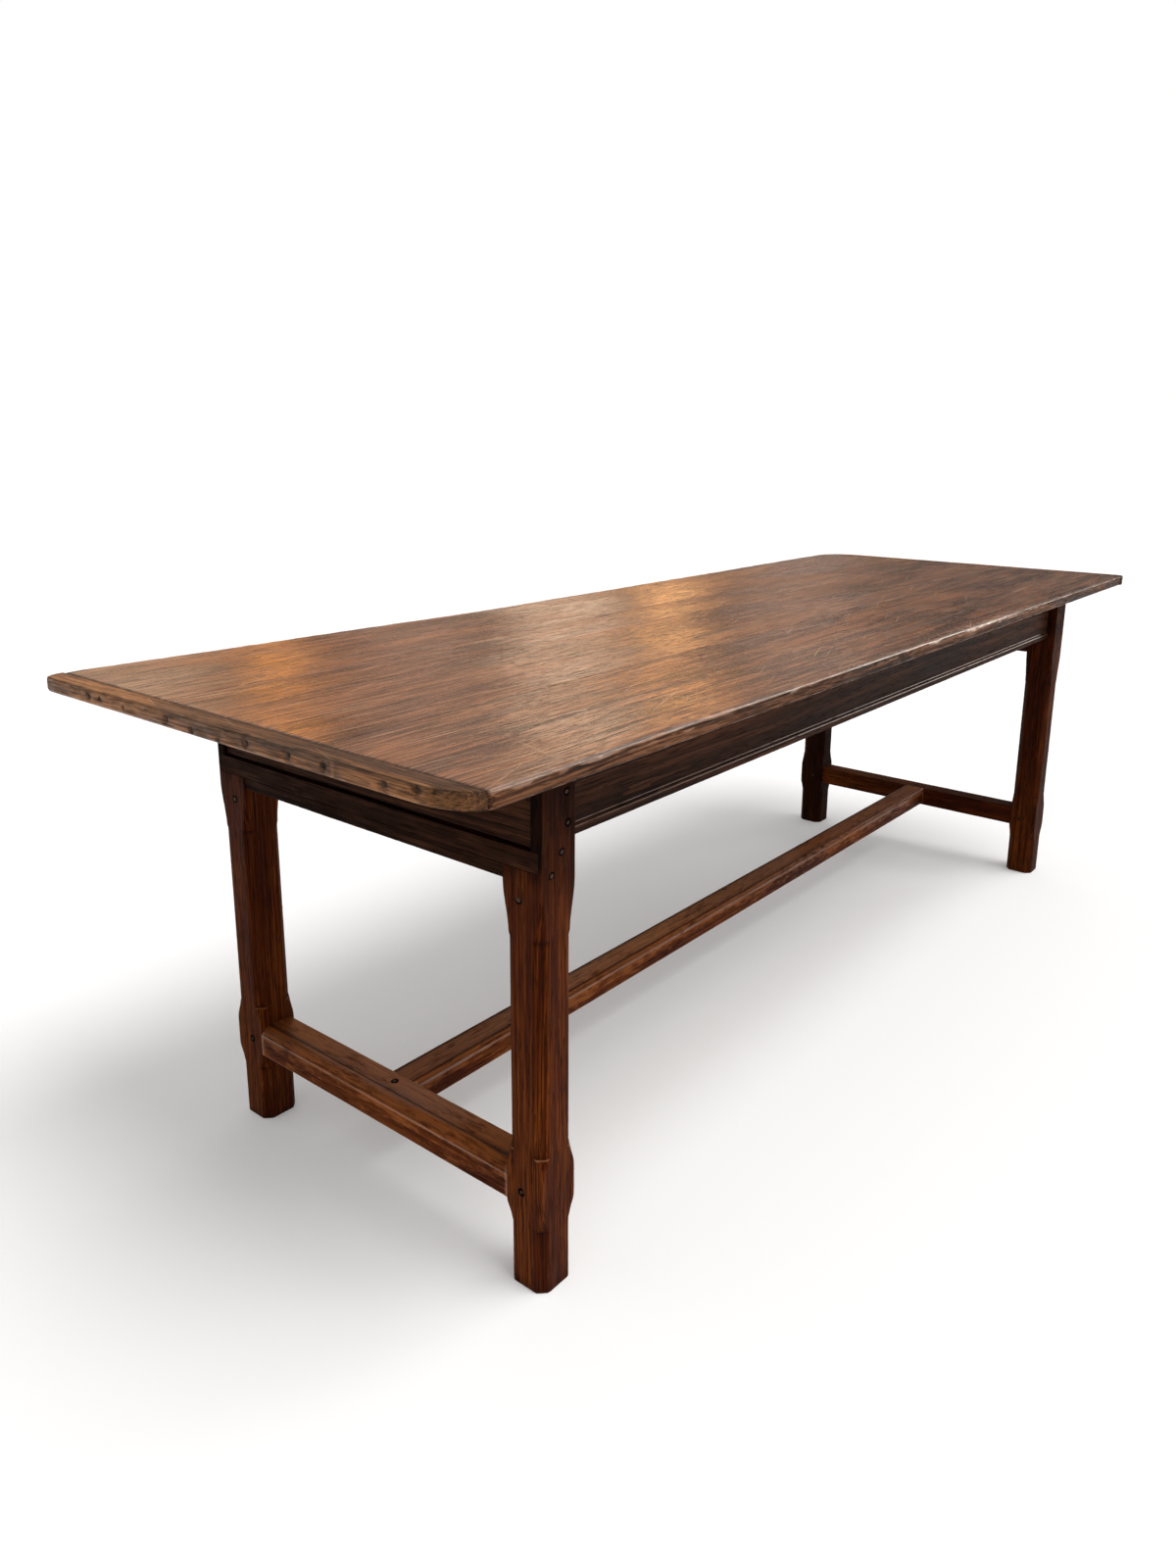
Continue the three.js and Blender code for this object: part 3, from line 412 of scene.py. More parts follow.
sheen = w.times(w.minus(given["Cloud"], 0.5), 0.3)
sheen = w.plus(given["Roughness"], sheen)
sheen = w.plus(sheen, w.times(given["Pores"], 0.2))
sheen = w.minus(sheen, w.times(rub_and_highlight_mask, 0.12))
sheen = w.plus(sheen, w.times(grime_and_shade_mask, 0.3))
sheen = w.math("MINIMUM", w.math("MAXIMUM", sheen, SHEEN_LIMITS[0]), SHEEN_LIMITS[1])
w.fill(result["Roughness"], sheen)

polished = w.times(rub_and_highlight_mask, w.soft_step(rub, 0.75, 0.95))
w.fill(result["Polish"], w.times(polished, given["Rub Share"]))

height = w.times(given["Pores"], -0.6)
height = w.plus(height, w.times(given["Streaks"], 0.9))
height = w.plus(height, w.times(given["Rings"], 0.3))
height = w.minus(height, w.times(scratch, 0.3))
broken = w.times(w.times(chips, rub), 2.6)
height = w.plus(height, broken)
w.fill(result["Height"], height)
print("group:", waxed_wear.name, len(waxed_wear.nodes), "nodes")


# %% [markdown]
# ## The finishes
#
# Every wooden finish is the same pair of groups with its own tones. The top is the palest
# and the shiniest, and its side faces, which no cloth polishes, are duller and darker. The
# legs and stretchers are redder, and the aprons are nearly black. Tones are written as they
# look in daylight, so they hold under other lamps too.


# %% A recipe for waxed oak
WARM_SHEEN = (1.0, 0.82, 0.66, 1)
BUMP_HEIGHT = 0.0014


def oak_finish(name, tones, figure_sizes, shares, looks, roughness, bump, gloss):
    """Waxed oak. tones: dark, middle, light, rubbed and highlight, pores and shade;
    shares: rings, rub and highlight, grime and shade.

    figure_sizes: rings in a metre, their waviness, and streaks in a metre.
    looks: how much the streaks, the clouds and the scratches show."""
    material, wire = new_finish(name)
    grain = wire.node("ShaderNodeAttribute", attribute_name="grain").outputs["Vector"]
    figure = wire.node("ShaderNodeGroup", node_tree=oak_figure)
    wire.fill(figure.inputs["Grain"], grain)
    for part, value in zip(("Rings per Metre", "Waviness", "Lines per Metre"), figure_sizes):
        wire.fill(figure.inputs[part], value)
    wear = wire.node("ShaderNodeGroup", node_tree=waxed_wear)
    wire.fill(wear.inputs["Grain"], grain)
    for part in ("Rings", "Pores", "Streaks", "Cloud"):
        wire.fill(wear.inputs[part], figure.outputs[part])
    names = ("Dark Tone", "Middle Tone", "Light Tone", "Rubbed Tone", "Pore Tone")
    for tone_name, tone_value in zip(names, tones):
        wire.fill(wear.inputs[tone_name], (*tone_value, 1))
    for part, value in zip(("Ring Share", "Rub Share", "Grime Share"), shares):
        wire.fill(wear.inputs[part], value)
    for part, value in zip(("Streak Share", "Cloud Share", "Scratches"), looks):
        wire.fill(wear.inputs[part], value)
    wire.fill(wear.inputs["Roughness"], roughness)
    relief = wire.node(
        "ShaderNodeBump",
        {"Height": wear.outputs["Height"], "Distance": BUMP_HEIGHT, "Strength": bump},
    )
    surface = wire.node(
        "ShaderNodeBsdfPrincipled",
        {
            "Base Color": wear.outputs["Colour"],
            "Roughness": wear.outputs["Roughness"],
            "Normal": relief.outputs[0],
            "Specular IOR Level": gloss,
            "Specular Tint": WARM_SHEEN,
            "Coat Weight": wear.outputs["Polish"],
            "Coat Roughness": 0.2,
            "Coat IOR": 1.9,
        },
    )
    out = wire.node("ShaderNodeOutputMaterial")
    wire.fill(out.inputs["Surface"], surface.outputs[0])
    return material


print("recipe ready")

# %% [markdown]
# Seven woods come from the one recipe. The numbers were matched to the photograph by
# changing one finish at a time.

# %% Mix the seven finishes
FINISHES = {
    "oak_top": oak_finish(
        "oak top",
        [
            (0.045, 0.019, 0.013),
            (0.116, 0.045, 0.029),
            (0.290, 0.114, 0.052),
            (0.480, 0.290, 0.175),
            (0.012, 0.005, 0.004),
        ],
        figure_sizes=(38, 3.0, 170),
        shares=(0.28, 0.6, 0.8),
        looks=(0.8, 0.6, 0.65),
        roughness=0.24,
        bump=1.0,
        gloss=0.55,
    ),
    "oak_cleat": oak_finish(
        "oak cleat",
        [
            (0.032, 0.012, 0.006),
            (0.128, 0.046, 0.017),
            (0.350, 0.135, 0.040),
            (0.420, 0.220, 0.110),
            (0.008, 0.004, 0.002),
        ],
        figure_sizes=(60, 3.0, 300),
        shares=(0.2, 0.55, 0.95),
        looks=(0.5, 0.85, 0.3),
        roughness=0.42,
        bump=1.0,
        gloss=0.3,
    ),
    "oak_edge": oak_finish(
        "oak edge",
        [
            (0.022, 0.008, 0.004),
            (0.100, 0.037, 0.017),
            (0.250, 0.100, 0.042),
            (0.480, 0.300, 0.190),
            (0.010, 0.004, 0.003),
        ],
        figure_sizes=(60, 3.0, 320),
        shares=(0.25, 0.6, 0.5),
        looks=(0.75, 0.4, 0.0),
        roughness=0.5,
        bump=0.9,
        gloss=0.12,
    ),
    "oak_frame": oak_finish(
        "oak frame",
        [
            (0.020, 0.003, 0.001),
            (0.064, 0.0100, 0.0010),
            (0.165, 0.040, 0.005),
            (0.360, 0.130, 0.036),
            (0.004, 0.0015, 0.001),
        ],
        figure_sizes=(48, 3.0, 380),
        shares=(0.12, 0.75, 0.9),
        looks=(0.36, 0.36, 0.0),
        roughness=0.5,
        bump=0.5,
        gloss=0.04,
    ),
    "oak_apron": oak_finish(
        "oak apron",
        [
            (0.012, 0.004, 0.002),
            (0.034, 0.012, 0.006),
            (0.078, 0.029, 0.014),
            (0.220, 0.110, 0.066),
            (0.004, 0.0015, 0.001),
        ],
        figure_sizes=(26, 4.0, 200),
        shares=(0.5, 0.7, 0.85),
        looks=(0.3, 0.3, 0.0),
        roughness=0.55,
        bump=0.35,
        gloss=0.035,
    ),
    "oak_inside": oak_finish(
        "oak inside",
        [
            (0.090, 0.042, 0.018),
            (0.200, 0.102, 0.046),
            (0.320, 0.184, 0.092),
            (0.330, 0.220, 0.125),
            (0.030, 0.016, 0.008),
        ],
        figure_sizes=(45, 3.0, 220),
        shares=(0.3, 0.3, 0.8),
        looks=(0.4, 0.4, 0.0),
        roughness=0.7,
        bump=0.4,
        gloss=0.25,
    ),
    "oak_peg": oak_finish(
        "oak peg",
        [
            (0.008, 0.003, 0.001),
            (0.026, 0.009, 0.003),
            (0.055, 0.020, 0.007),
            (0.070, 0.030, 0.012),
            (0.002, 0.001, 0.001),
        ],
        figure_sizes=(180, 2.0, 400),
        shares=(0.3, 0.2, 1.0),
        looks=(0.4, 0.4, 0.0),
        roughness=0.65,
        bump=0.5,
        gloss=0.02,
    ),
}
print("finishes:", sorted(FINISHES))

# %% [markdown]
# ## Iron for the nails
#
# The breadboard ends are held by hand-cut iron nails. Bare iron in oak turns black, with
# brown rust where the wax has worn off, so two scales of noise decide between them.

# %% Make the iron finish
iron, w = new_finish("forged iron")
spot = w.node("ShaderNodeTexCoord").outputs["Object"]
rust = w.soft_step(w.noise(spot, 420.0, 4.0, 0.6), 0.45, 0.62)
iron_colour = w.mix(rust, (0.020, 0.018, 0.017, 1), (0.085, 0.032, 0.014, 1))
iron_rough = w.soft_step(rust, 0.0, 1.0, 0.42, 0.85)
iron_metal = w.soft_step(rust, 0.0, 1.0, 0.85, 0.1)
dents = w.node(
    "ShaderNodeBump",
    {"Height": w.noise(spot, 900.0, 3.0), "Distance": 0.0004, "Strength": 0.6},
)
iron_surface = w.node(
    "ShaderNodeBsdfPrincipled",
    {
        "Base Color": iron_colour,
        "Roughness": iron_rough,
        "Metallic": iron_metal,
        "Normal": dents.outputs[0],
    },
)
w.fill(
    w.node("ShaderNodeOutputMaterial").inputs["Surface"], iron_surface.outputs[0]
)
FINISHES["iron"] = iron
print("finish:", iron.name)

# %% [markdown]
# ## Making a piece old
#
# Each wooden piece ends in the same steps, gathered here. Its vertices get the grain
# attribute from the direction in which its fibres run, and a different start for each
# piece, so that no two boards show the same figure. Rub and grime are read off the shape:
# an edge that stands out is rubbed, and an edge that lies in a corner holds grime. Both
# spread a few millimetres over the faces beside it.


# %% Grain, rub and grime as attributes
RUB_REACH = 0.0025
GRIME_REACH = 0.004
SPREAD_PASSES = 8
FULL_TURN = 0.35
LEAST_MARK = 0.35
AXES = {"x": (0, 1, 2), "y": (1, 0, 2), "z": (2, 0, 1)}


def edge_turns(mesh):
    """For each edge, how far its faces turn away (+) or towards each other (-), in radians."""
    body = bmesh.new()
    body.from_mesh(mesh)
    turns = np.array([e.calc_face_angle_signed(0.0) for e in body.edges])
    ends = np.array([[e.verts[0].index, e.verts[1].index] for e in body.edges])
    lengths = np.array([e.calc_length() for e in body.edges])
    body.free()
    return turns, ends, lengths


def spread(values, ends, lengths, reach):
    """Carries each vertex's value to its neighbours, fading with distance."""
    fade = np.exp(-lengths / reach)
    for _ in range(SPREAD_PASSES):
        carried = values.copy()
        np.maximum.at(carried, ends[:, 0], values[ends[:, 1]] * fade)
        np.maximum.at(carried, ends[:, 1], values[ends[:, 0]] * fade)
        values = carried
    return values


def store(mesh, name, kind, values):
    """Stores one value for each point of the mesh."""
    attribute = mesh.attributes.new(name, kind, "POINT")
    field = "vector" if kind == "FLOAT_VECTOR" else "value"
    attribute.data.foreach_set(field, np.asarray(values, np.float32).ravel())


def points_of(mesh):
    """The mesh's points as an array with a row for each."""
    points = np.empty(len(mesh.vertices) * 3)
    mesh.vertices.foreach_get("co", points)
    return points.reshape(-1, 3)


def age(mesh, along_axis, extra_grime_and_shade=None, handled=1.0, trodden_and_highlight=0.0):
    """Stores grain, rub and grime on a mesh whose fibres run along that axis.

    handled is how much its arrises have been rubbed, and trodden_and_highlight how much its
    faces have been worn or given a painted highlight, each from 0 to 1, for the whole piece or
    for each point. extra_grime_and_shade adds dirt and painted shade where a piece asks for
    them."""
    points = points_of(mesh)
    seed = sum(ord(letter) * (place + 1) for place, letter in enumerate(mesh.name))
    start = np.random.default_rng(seed).uniform(-1.0, 1.0, 3) * (5.0, 0.04, 0.04)
    grain = points[:, AXES[along_axis]] - points.mean(0)[list(AXES[along_axis])] + start
    store(mesh, "grain", "FLOAT_VECTOR", grain)
    turns, ends, lengths = edge_turns(mesh)
    outward = np.zeros(len(points))
    inward = np.zeros(len(points))
    for column in (0, 1):
        np.maximum.at(outward, ends[:, column], np.clip(turns / FULL_TURN, 0, 1))
        np.maximum.at(inward, ends[:, column], np.clip(-turns / FULL_TURN, 0, 1))
    outward[outward < LEAST_MARK] = 0
    inward[inward < LEAST_MARK] = 0
    rub = np.maximum(spread(outward, ends, lengths, RUB_REACH) * handled, trodden_and_highlight)
    grime = spread(inward, ends, lengths, GRIME_REACH)
    if extra_grime_and_shade is not None:
        grime = np.maximum(grime, extra_grime_and_shade)
        rub = rub * (1 - np.clip(extra_grime_and_shade, 0, 1))
    store(mesh, "rub", "FLOAT", rub)
    store(mesh, "grime", "FLOAT", grime)


print("ageing ready")

# %% [markdown]
# A finished piece is trimmed to the box of the CAD nodes that it stands for, so that no wear
# makes it grow, and then takes its finish and rides on its body. Modifiers are never left on
# a piece: the evaluated result is copied to a plain mesh, and the object goes.


# %% Settle a finished piece
MM = 1000


def settle(obj, slot, body, *nodes, smooth=True):
    """The finished piece takes its finish, stands for its CAD nodes and rides on its body."""
    obj.data.materials.clear()
    obj.data.materials.append(FINISHES[slot])
    if smooth:
        obj.data.shade_smooth()
    points = points_of(obj.data)
    boxes = [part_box(node) for node in nodes]
    cad_start = np.min([box[0] for box in boxes], axis=0)
    cad_stop = np.max([box[1] for box in boxes], axis=0)
    beyond = max((cad_start - points.min(0)).max(), (points.max(0) - cad_stop).max()) * MM
    kept = np.clip(points, cad_start, cad_stop)
    obj.data.vertices.foreach_set("co", kept.astype(np.float32).ravel())
    obj.data.update()
    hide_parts(*nodes)
    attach(obj, body)
    faces = len(obj.data.polygons)
    print(f"{obj.name}: {faces} faces, {beyond:+.2f} mm beyond its CAD box before the trim")


def new_object(name, mesh):
    obj = bpy.data.objects.new(name, mesh)
    bpy.context.scene.collection.objects.link(obj)
    return obj


def plain_copy(obj, name):
    """The evaluated result of an object's modifiers as a plain mesh; the object goes."""
    graph = bpy.context.evaluated_depsgraph_get()
    mesh = bpy.data.meshes.new_from_object(obj.evaluated_get(graph))
    unworked = obj.data
    bpy.data.objects.remove(obj)
    bpy.data.meshes.remove(unworked)
    mesh.name = name
    return mesh


def face_outwards(mesh, merge=0.0):
    """Merges points that lie closer than that, if it isn't 0, and turns all faces outwards."""
    body = bmesh.new()
    body.from_mesh(mesh)
    if merge:
        bmesh.ops.remove_doubles(body, verts=body.verts, dist=merge)
    bmesh.ops.recalc_face_normals(body, faces=body.faces)
    body.to_mesh(mesh)
    body.free()


print("settling ready")

# %% [markdown]
# ## Worn by hand, as Geometry Nodes
#
# No hand-planed piece is flat. A node group, used inside the trees below, sinks a surface by
# a slow swell and a finer ripple of noise. It only ever takes wood away, so a piece can't
# grow past the size that the CAD gave it.

# %% Geometry group: hand-worn surface
SWELLS_PER_METRE = 9.0
RIPPLES_PER_METRE = 60.0
SURFACE_INPUTS = (
    ("Geometry", "NodeSocketGeometry", None),
    ("Swell", "NodeSocketFloat", 0.0008),
    ("Ripple", "NodeSocketFloat", 0.0003),
    ("Seed", "NodeSocketFloat", 0.0),
)
hand_worn, w, given, result = new_group(
    "hand-worn surface",
    "GeometryNodeTree",
    SURFACE_INPUTS,
    (("Geometry", "NodeSocketGeometry"),),
)
place = w.node("GeometryNodeInputPosition").outputs[0]
swell = w.node(
    "ShaderNodeTexNoise",
    {"Vector": place, "W": given["Seed"], "Scale": SWELLS_PER_METRE, "Detail": 1.0},
    noise_dimensions="4D",
).outputs[0]
ripple = w.node(
    "ShaderNodeTexNoise",
    {"Vector": place, "W": given["Seed"], "Scale": RIPPLES_PER_METRE, "Detail": 2.0},
    noise_dimensions="4D",
).outputs[0]
depth = w.plus(w.times(swell, given["Swell"]), w.times(ripple, given["Ripple"]))
normal = w.node("GeometryNodeInputNormal").outputs[0]
inwards = w.node("ShaderNodeVectorMath", operation="SCALE")
w.fill(inwards.inputs[0], normal)
w.fill(inwards.inputs["Scale"], w.times(depth, -1.0))
sunk = w.node(
    "GeometryNodeSetPosition",
    {"Geometry": given["Geometry"], "Offset": inwards.outputs[0]},
)
w.fill(result["Geometry"], sunk.outputs[0])
print("group:", hand_worn.name)


# %% [markdown]
# ## The stop-chamfered legs
#
# The legs are the table's best work. Each is a square post whose corners are planed off
# between two nicks; past each nick the chamfer swells back to the full corner in a lamb's
# tongue. That is a rule: at every height there is a chamfer width, and each point that lies
# outside the chamfer's plane is pushed straight back onto it. A fine box and one Set Position
# node follow the rule, and blurring the positions once takes the edge off, as wear does.
# The legs at the drawer end are then notched for the rail and the drawer front.


# %% Geometry tree: stop-chamfered post, its sockets and its block
def attach_tree(obj, tree, values):
    """Adds a Geometry Nodes modifier and sets its inputs by the identifiers of its sockets."""
    modifier = obj.modifiers.new(tree.name, "NODES")
    modifier.node_group = tree
    known = {
        item.name: item.identifier
        for item in tree.interface.items_tree
        if item.item_type == "SOCKET" and item.in_out == "INPUT"
    }
    for name, value in values.items():
        modifier[known[name]] = value


POST_INPUTS = (
    ("Size", "NodeSocketFloat", 0.065),
    ("Height", "NodeSocketFloat", 0.747),
    ("Chamfer", "NodeSocketFloat", 0.012),
    ("Tongue Share", "NodeSocketFloat", 0.8),
    ("Foot Nick", "NodeSocketFloat", 0.097),
    ("Foot Tongue", "NodeSocketFloat", 0.030),
    ("Lower Nick", "NodeSocketFloat", 0.207),
    ("Lower Tongue", "NodeSocketFloat", 0.038),
    ("Upper Nick", "NodeSocketFloat", 0.511),
    ("Upper Tongue", "NodeSocketFloat", 0.076),
    ("Swell", "NodeSocketFloat", 0.0005),
    ("Ripple", "NodeSocketFloat", 0.0003),
    ("Seed", "NodeSocketFloat", 0.0),
    ("Lap Cutter", "NodeSocketObject", None),
    ("Notch Cutter", "NodeSocketObject", None),
    ("Oak", "NodeSocketMaterial", None),
)
post_tree, w, given, result = new_group(
    "stop-chamfered post",
    "GeometryNodeTree",
    POST_INPUTS,
    (("Geometry", "NodeSocketGeometry"),),
)
block_size = w.node(
    "ShaderNodeCombineXYZ", {"X": 2.0, "Y": 2.0, "Z": given["Height"]}
)
block = w.node(
    "GeometryNodeMeshCube",
    {
        "Size": block_size.outputs[0],
        "Vertices X": 25,
        "Vertices Y": 25,
        "Vertices Z": 300,
    },
)
print("tree:", post_tree.name, len(POST_INPUTS), "inputs")

# %% [markdown]
# The block starts 2 m wide, so a column's x and y are shares of half its side. A sine crowds
# the columns towards the corners, where the shape turns. The chamfer's width then comes from
# the level: full on the foot and on the shaft, less past each nick, and nothing where a tongue
# has died out. On the two end faces the same rule works ring by ring, so the caps stay flat.

# %% Follow the chamfer's rule
CROWDING = 1.2
spot = w.node("ShaderNodeSeparateXYZ", {0: w.node("GeometryNodeInputPosition").outputs[0]})
half_size = w.times(given["Size"], 0.5)
level = w.plus(spot.outputs[2], w.times(given["Height"], 0.5))


def crowded(share):
    """Moves evenly spaced columns towards the corners, where the shape turns."""
    bent = w.math("SINE", w.times(share, CROWDING))
    bent = w.math("DIVIDE", bent, math.sin(CROWDING))
    return w.times(bent, half_size)


side_x = crowded(spot.outputs[0])
side_y = crowded(spot.outputs[1])
foot_top = w.plus(given["Foot Nick"], given["Foot Tongue"])
lower_start = w.minus(given["Lower Nick"], given["Lower Tongue"])
upper_end = w.plus(given["Upper Nick"], given["Upper Tongue"])
above_foot = w.math("GREATER_THAN", level, given["Foot Nick"])
above_lower = w.math("GREATER_THAN", level, given["Lower Nick"])
above_upper = w.math("GREATER_THAN", level, given["Upper Nick"])
share = given["Tongue Share"]
foot_tongue = w.soft_step(level, given["Foot Nick"], foot_top, share, 0.0)
lower_tongue = w.soft_step(level, lower_start, given["Lower Nick"], 0.0, share)
upper_tongue = w.soft_step(level, given["Upper Nick"], upper_end, share, 0.0)


def choose(switch, low, high):
    """low where the switch is 0 and high where it is 1."""
    kept = w.times(w.minus(1.0, switch), low)
    return w.plus(kept, w.times(switch, high))


below_shaft = choose(above_foot, 1.0, w.plus(foot_tongue, lower_tongue))
width_share = choose(above_lower, below_shaft, choose(above_upper, 1.0, upper_tongue))
width = w.times(width_share, given["Chamfer"])
limit = w.minus(given["Size"], width)
size_x, size_y = w.math("ABSOLUTE", side_x), w.math("ABSOLUTE", side_y)
ring_share = w.math("DIVIDE", w.math("MAXIMUM", size_x, size_y), half_size)
reach = w.math("DIVIDE", w.plus(size_x, size_y), ring_share)
excess = w.math("MAXIMUM", w.minus(reach, limit), 0.0)
excess = w.times(w.times(excess, 0.5), ring_share)
chamfered_x = w.minus(side_x, w.times(w.math("SIGN", side_x), excess))
chamfered_y = w.minus(side_y, w.times(w.math("SIGN", side_y), excess))
target = w.node(
    "ShaderNodeCombineXYZ", {"X": chamfered_x, "Y": chamfered_y, "Z": level}
)
print("chamfer's rule wired")

# %% [markdown]
# Set Position moves the block's points to where the rule wants them. One pass of Blur
# Attribute softens the arrises, the hand-worn group makes the faces uneven, and a Boolean
# takes the laps and notches out of the two legs at the drawer end.

# %% Shape, soften and notch the post
shaped = w.node(
    "GeometryNodeSetPosition", {"Geometry": block.outputs[0], "Position": target.outputs[0]}
)
softer = w.node(
    "GeometryNodeBlurAttribute",
    {"Iterations": 1, "Weight": 0.7},
    data_type="FLOAT_VECTOR",
)
here = w.node("GeometryNodeInputPosition").outputs[0]
softer_in = next(s for s in softer.inputs if s.type == "VECTOR" and s.enabled)
w.fill(softer_in, here)
soft_out = next(s for s in softer.outputs if s.type == "VECTOR" and s.enabled)
eased = w.node(
    "GeometryNodeSetPosition", {"Geometry": shaped.outputs[0], "Position": soft_out}
)
worn = w.node("GeometryNodeGroup", {"Geometry": eased.outputs[0]}, node_tree=hand_worn)
for name in ("Swell", "Ripple", "Seed"):
    w.fill(worn.inputs[name], given[name])
notched = w.node("GeometryNodeMeshBoolean", operation="DIFFERENCE", solver="EXACT")
w.fill(notched.inputs["Mesh 1"], worn.outputs[0])
for cutter_name in ("Lap Cutter", "Notch Cutter"):
    cutter = w.node("GeometryNodeObjectInfo", {"Object": given[cutter_name]})
    w.fill(notched.inputs["Mesh 2"], cutter.outputs["Geometry"])
whole = w.node("GeometryNodeRealizeInstances", {"Geometry": notched.outputs[0]})
oiled = w.node(
    "GeometryNodeSetMaterial", {"Geometry": whole.outputs[0], "Material": given["Oak"]}
)
w.fill(result["Geometry"], oiled.outputs[0])
print("tree:", post_tree.name, len(post_tree.nodes), "nodes")

# %% [markdown]
# The cutters are plain blocks at the leg's own origin. The lap takes the drawer rail's band
# and stops just short of the outer face. The notch above it takes the drawer front but leaves
# a strip at the outer edge, which still shows beside the drawer. The legs are then darkened
# with painted shade, heavily under the top, and also on the end faces at the drawer end, on
# the hidden legs and at the upper nick. They are also made a little darker at the foot.


# %% Cutters and wax for the legs
LEG_SIZE = 0.065
LAP_DEPTH = 0.016
NOTCH_DEPTH = 0.026
OUTER_STRIP = 0.017
LAP_STOP = 0.005
LAP_HEIGHT = 0.027
CUT_MARGIN = 0.01
SHADE_START = 0.52
END_FACE_SHADE_START = 0.585
UPPER_NICK = 0.511
LOWER_NICK = 0.205
CHAMFER_REACH = LEG_SIZE - 0.0135
HIDDEN_LEG_SHADE = {"leg_far_back": 0.9, "leg_drawer_back": 0.2, "leg_far_front": 0.5}


def block_mesh(name, low, high):
    """A closed block between two corners."""
    mesh = bpy.data.meshes.new(name)
    body = bmesh.new()
    bmesh.ops.create_cube(body, size=1)
    for vertex in body.verts:
        for i in range(3):
            middle = (low[i] + high[i]) / 2
            vertex.co[i] = middle + vertex.co[i] * (high[i] - low[i])
    body.to_mesh(mesh)
    body.free()
    return mesh


def drawer_end_cutters(side, band_levels):
    """The lap and the notch in a drawer-end leg, in the leg's own frame."""
    half = LEG_SIZE / 2
    face = -half - CUT_MARGIN
    across = sorted((-side * (half + CUT_MARGIN), side * (half - OUTER_STRIP)))
    lap_across = sorted((-side * (half + CUT_MARGIN), side * (half - LAP_STOP)))
    lap = block_mesh(
        "lap",
        (face, lap_across[0], band_levels[0]),
        (-half + LAP_DEPTH, lap_across[1], band_levels[1]),
    )
    notch = block_mesh(
        "notch",
        (face, across[0], band_levels[1] - 1e-4),
        (-half + NOTCH_DEPTH, across[1], 1.0),
    )
    return new_object("lap_cutter", lap), new_object("notch_cutter", notch)


def chamfer_nick(points, nick_level, height):
    """1 on the chamfers of a leg at a nick, fading out just above and below it."""
    across = np.abs(points[:, :2] - (points[:, :2].min(0) + points[:, :2].max(0)) / 2)
    on_chamfer = across.sum(1) > CHAMFER_REACH
    return on_chamfer * np.clip(1.4 - np.abs(points[:, 2] - nick_level) / height, 0, 1)


def leg_shade_and_dirt(points, node):
    """Painted shade on a leg: under the top, on hidden legs, at the upper nick; darker foot.
    """
    level = points[:, 2]
    painted_leg_shade = np.clip((level - SHADE_START) / 0.13, 0, 1) * 0.8
    if "drawer" in node:
        end_face = np.clip(1 - (points[:, 0] - points[:, 0].min()) / 0.004, 0, 1)
        painted_leg_shade += np.clip((level - END_FACE_SHADE_START) / 0.03, 0, 1) * end_face * 0.5
    foot = np.clip(1 - level / 0.02, 0, 1) * 0.5
    painted_leg_shade = np.maximum(painted_leg_shade, 0.8 * chamfer_nick(points, UPPER_NICK, 0.0022))
    return np.maximum(np.maximum(painted_leg_shade, foot), HIDDEN_LEG_SHADE.get(node, 0.0))


print("cutters ready; painted shade on hidden legs:", HIDDEN_LEG_SHADE)

# %% [markdown]
# Each leg starts as an empty mesh with the tree on it. The evaluated result is moved to where
# the CAD has that leg, and the lower nick is left pale, as rubbed wood and a painted
# highlight.

# %% Make the four legs
rail_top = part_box("drawer_rail")[1].z
BAND_LEVELS = (rail_top - LAP_HEIGHT, rail_top)
for seed, node in enumerate(
    ("leg_drawer_front", "leg_drawer_back", "leg_far_front", "leg_far_back")
):
    low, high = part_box(node)
    values = {"Seed": 3.7 * seed, "Oak": FINISHES["oak_frame"]}
    values |= {"Size": high.x - low.x, "Height": high.z - low.z}
    cutters = ()
    if "drawer" in node:
        cutters = drawer_end_cutters(-1 if "front" in node else 1, BAND_LEVELS)
        values |= {"Lap Cutter": cutters[0], "Notch Cutter": cutters[1]}
    seedling = new_object("post", bpy.data.meshes.new("post"))
    attach_tree(seedling, post_tree, values)
    mesh = plain_copy(seedling, f"oak_{node}")
    for cutter in cutters:
        bpy.data.objects.remove(cutter)
    mesh.transform(Matrix.Translation(((low.x + high.x) / 2, (low.y + high.y) / 2, 0)))
    nick_rub_and_highlight = chamfer_nick(points_of(mesh), LOWER_NICK, 0.0019)
    age(mesh, "z", leg_shade_and_dirt(points_of(mesh), node), handled=0.3, trodden_and_highlight=nick_rub_and_highlight)
    settle(new_object(mesh.name, mesh), "oak_frame", "table", node)

# %% [markdown]
# ## Mouldings run along a line
#
# Aprons, rails and stretchers are all one idea: a profile, planed into a stick, carried along
# its whole length. Curve to Mesh does the same with a curve. The profiles are drawn here as
# closed loops, x outwards and y up, with each arris rounded by a few points and more points
# beside it, so that wear and grime can be told from the flat faces.


# %% Profiles with rounded arrises
ROUND_STEPS = (0.0, 0.25, 0.5, 0.75, 1.0)
BESIDE_ARRIS = (0.0015, 0.004, 0.008)
FLAT_SPACING = 0.012
MOST_ROUND = 0.35
QUIRK_WIDTH, QUIRK_DEPTH = 0.0018, 0.0016


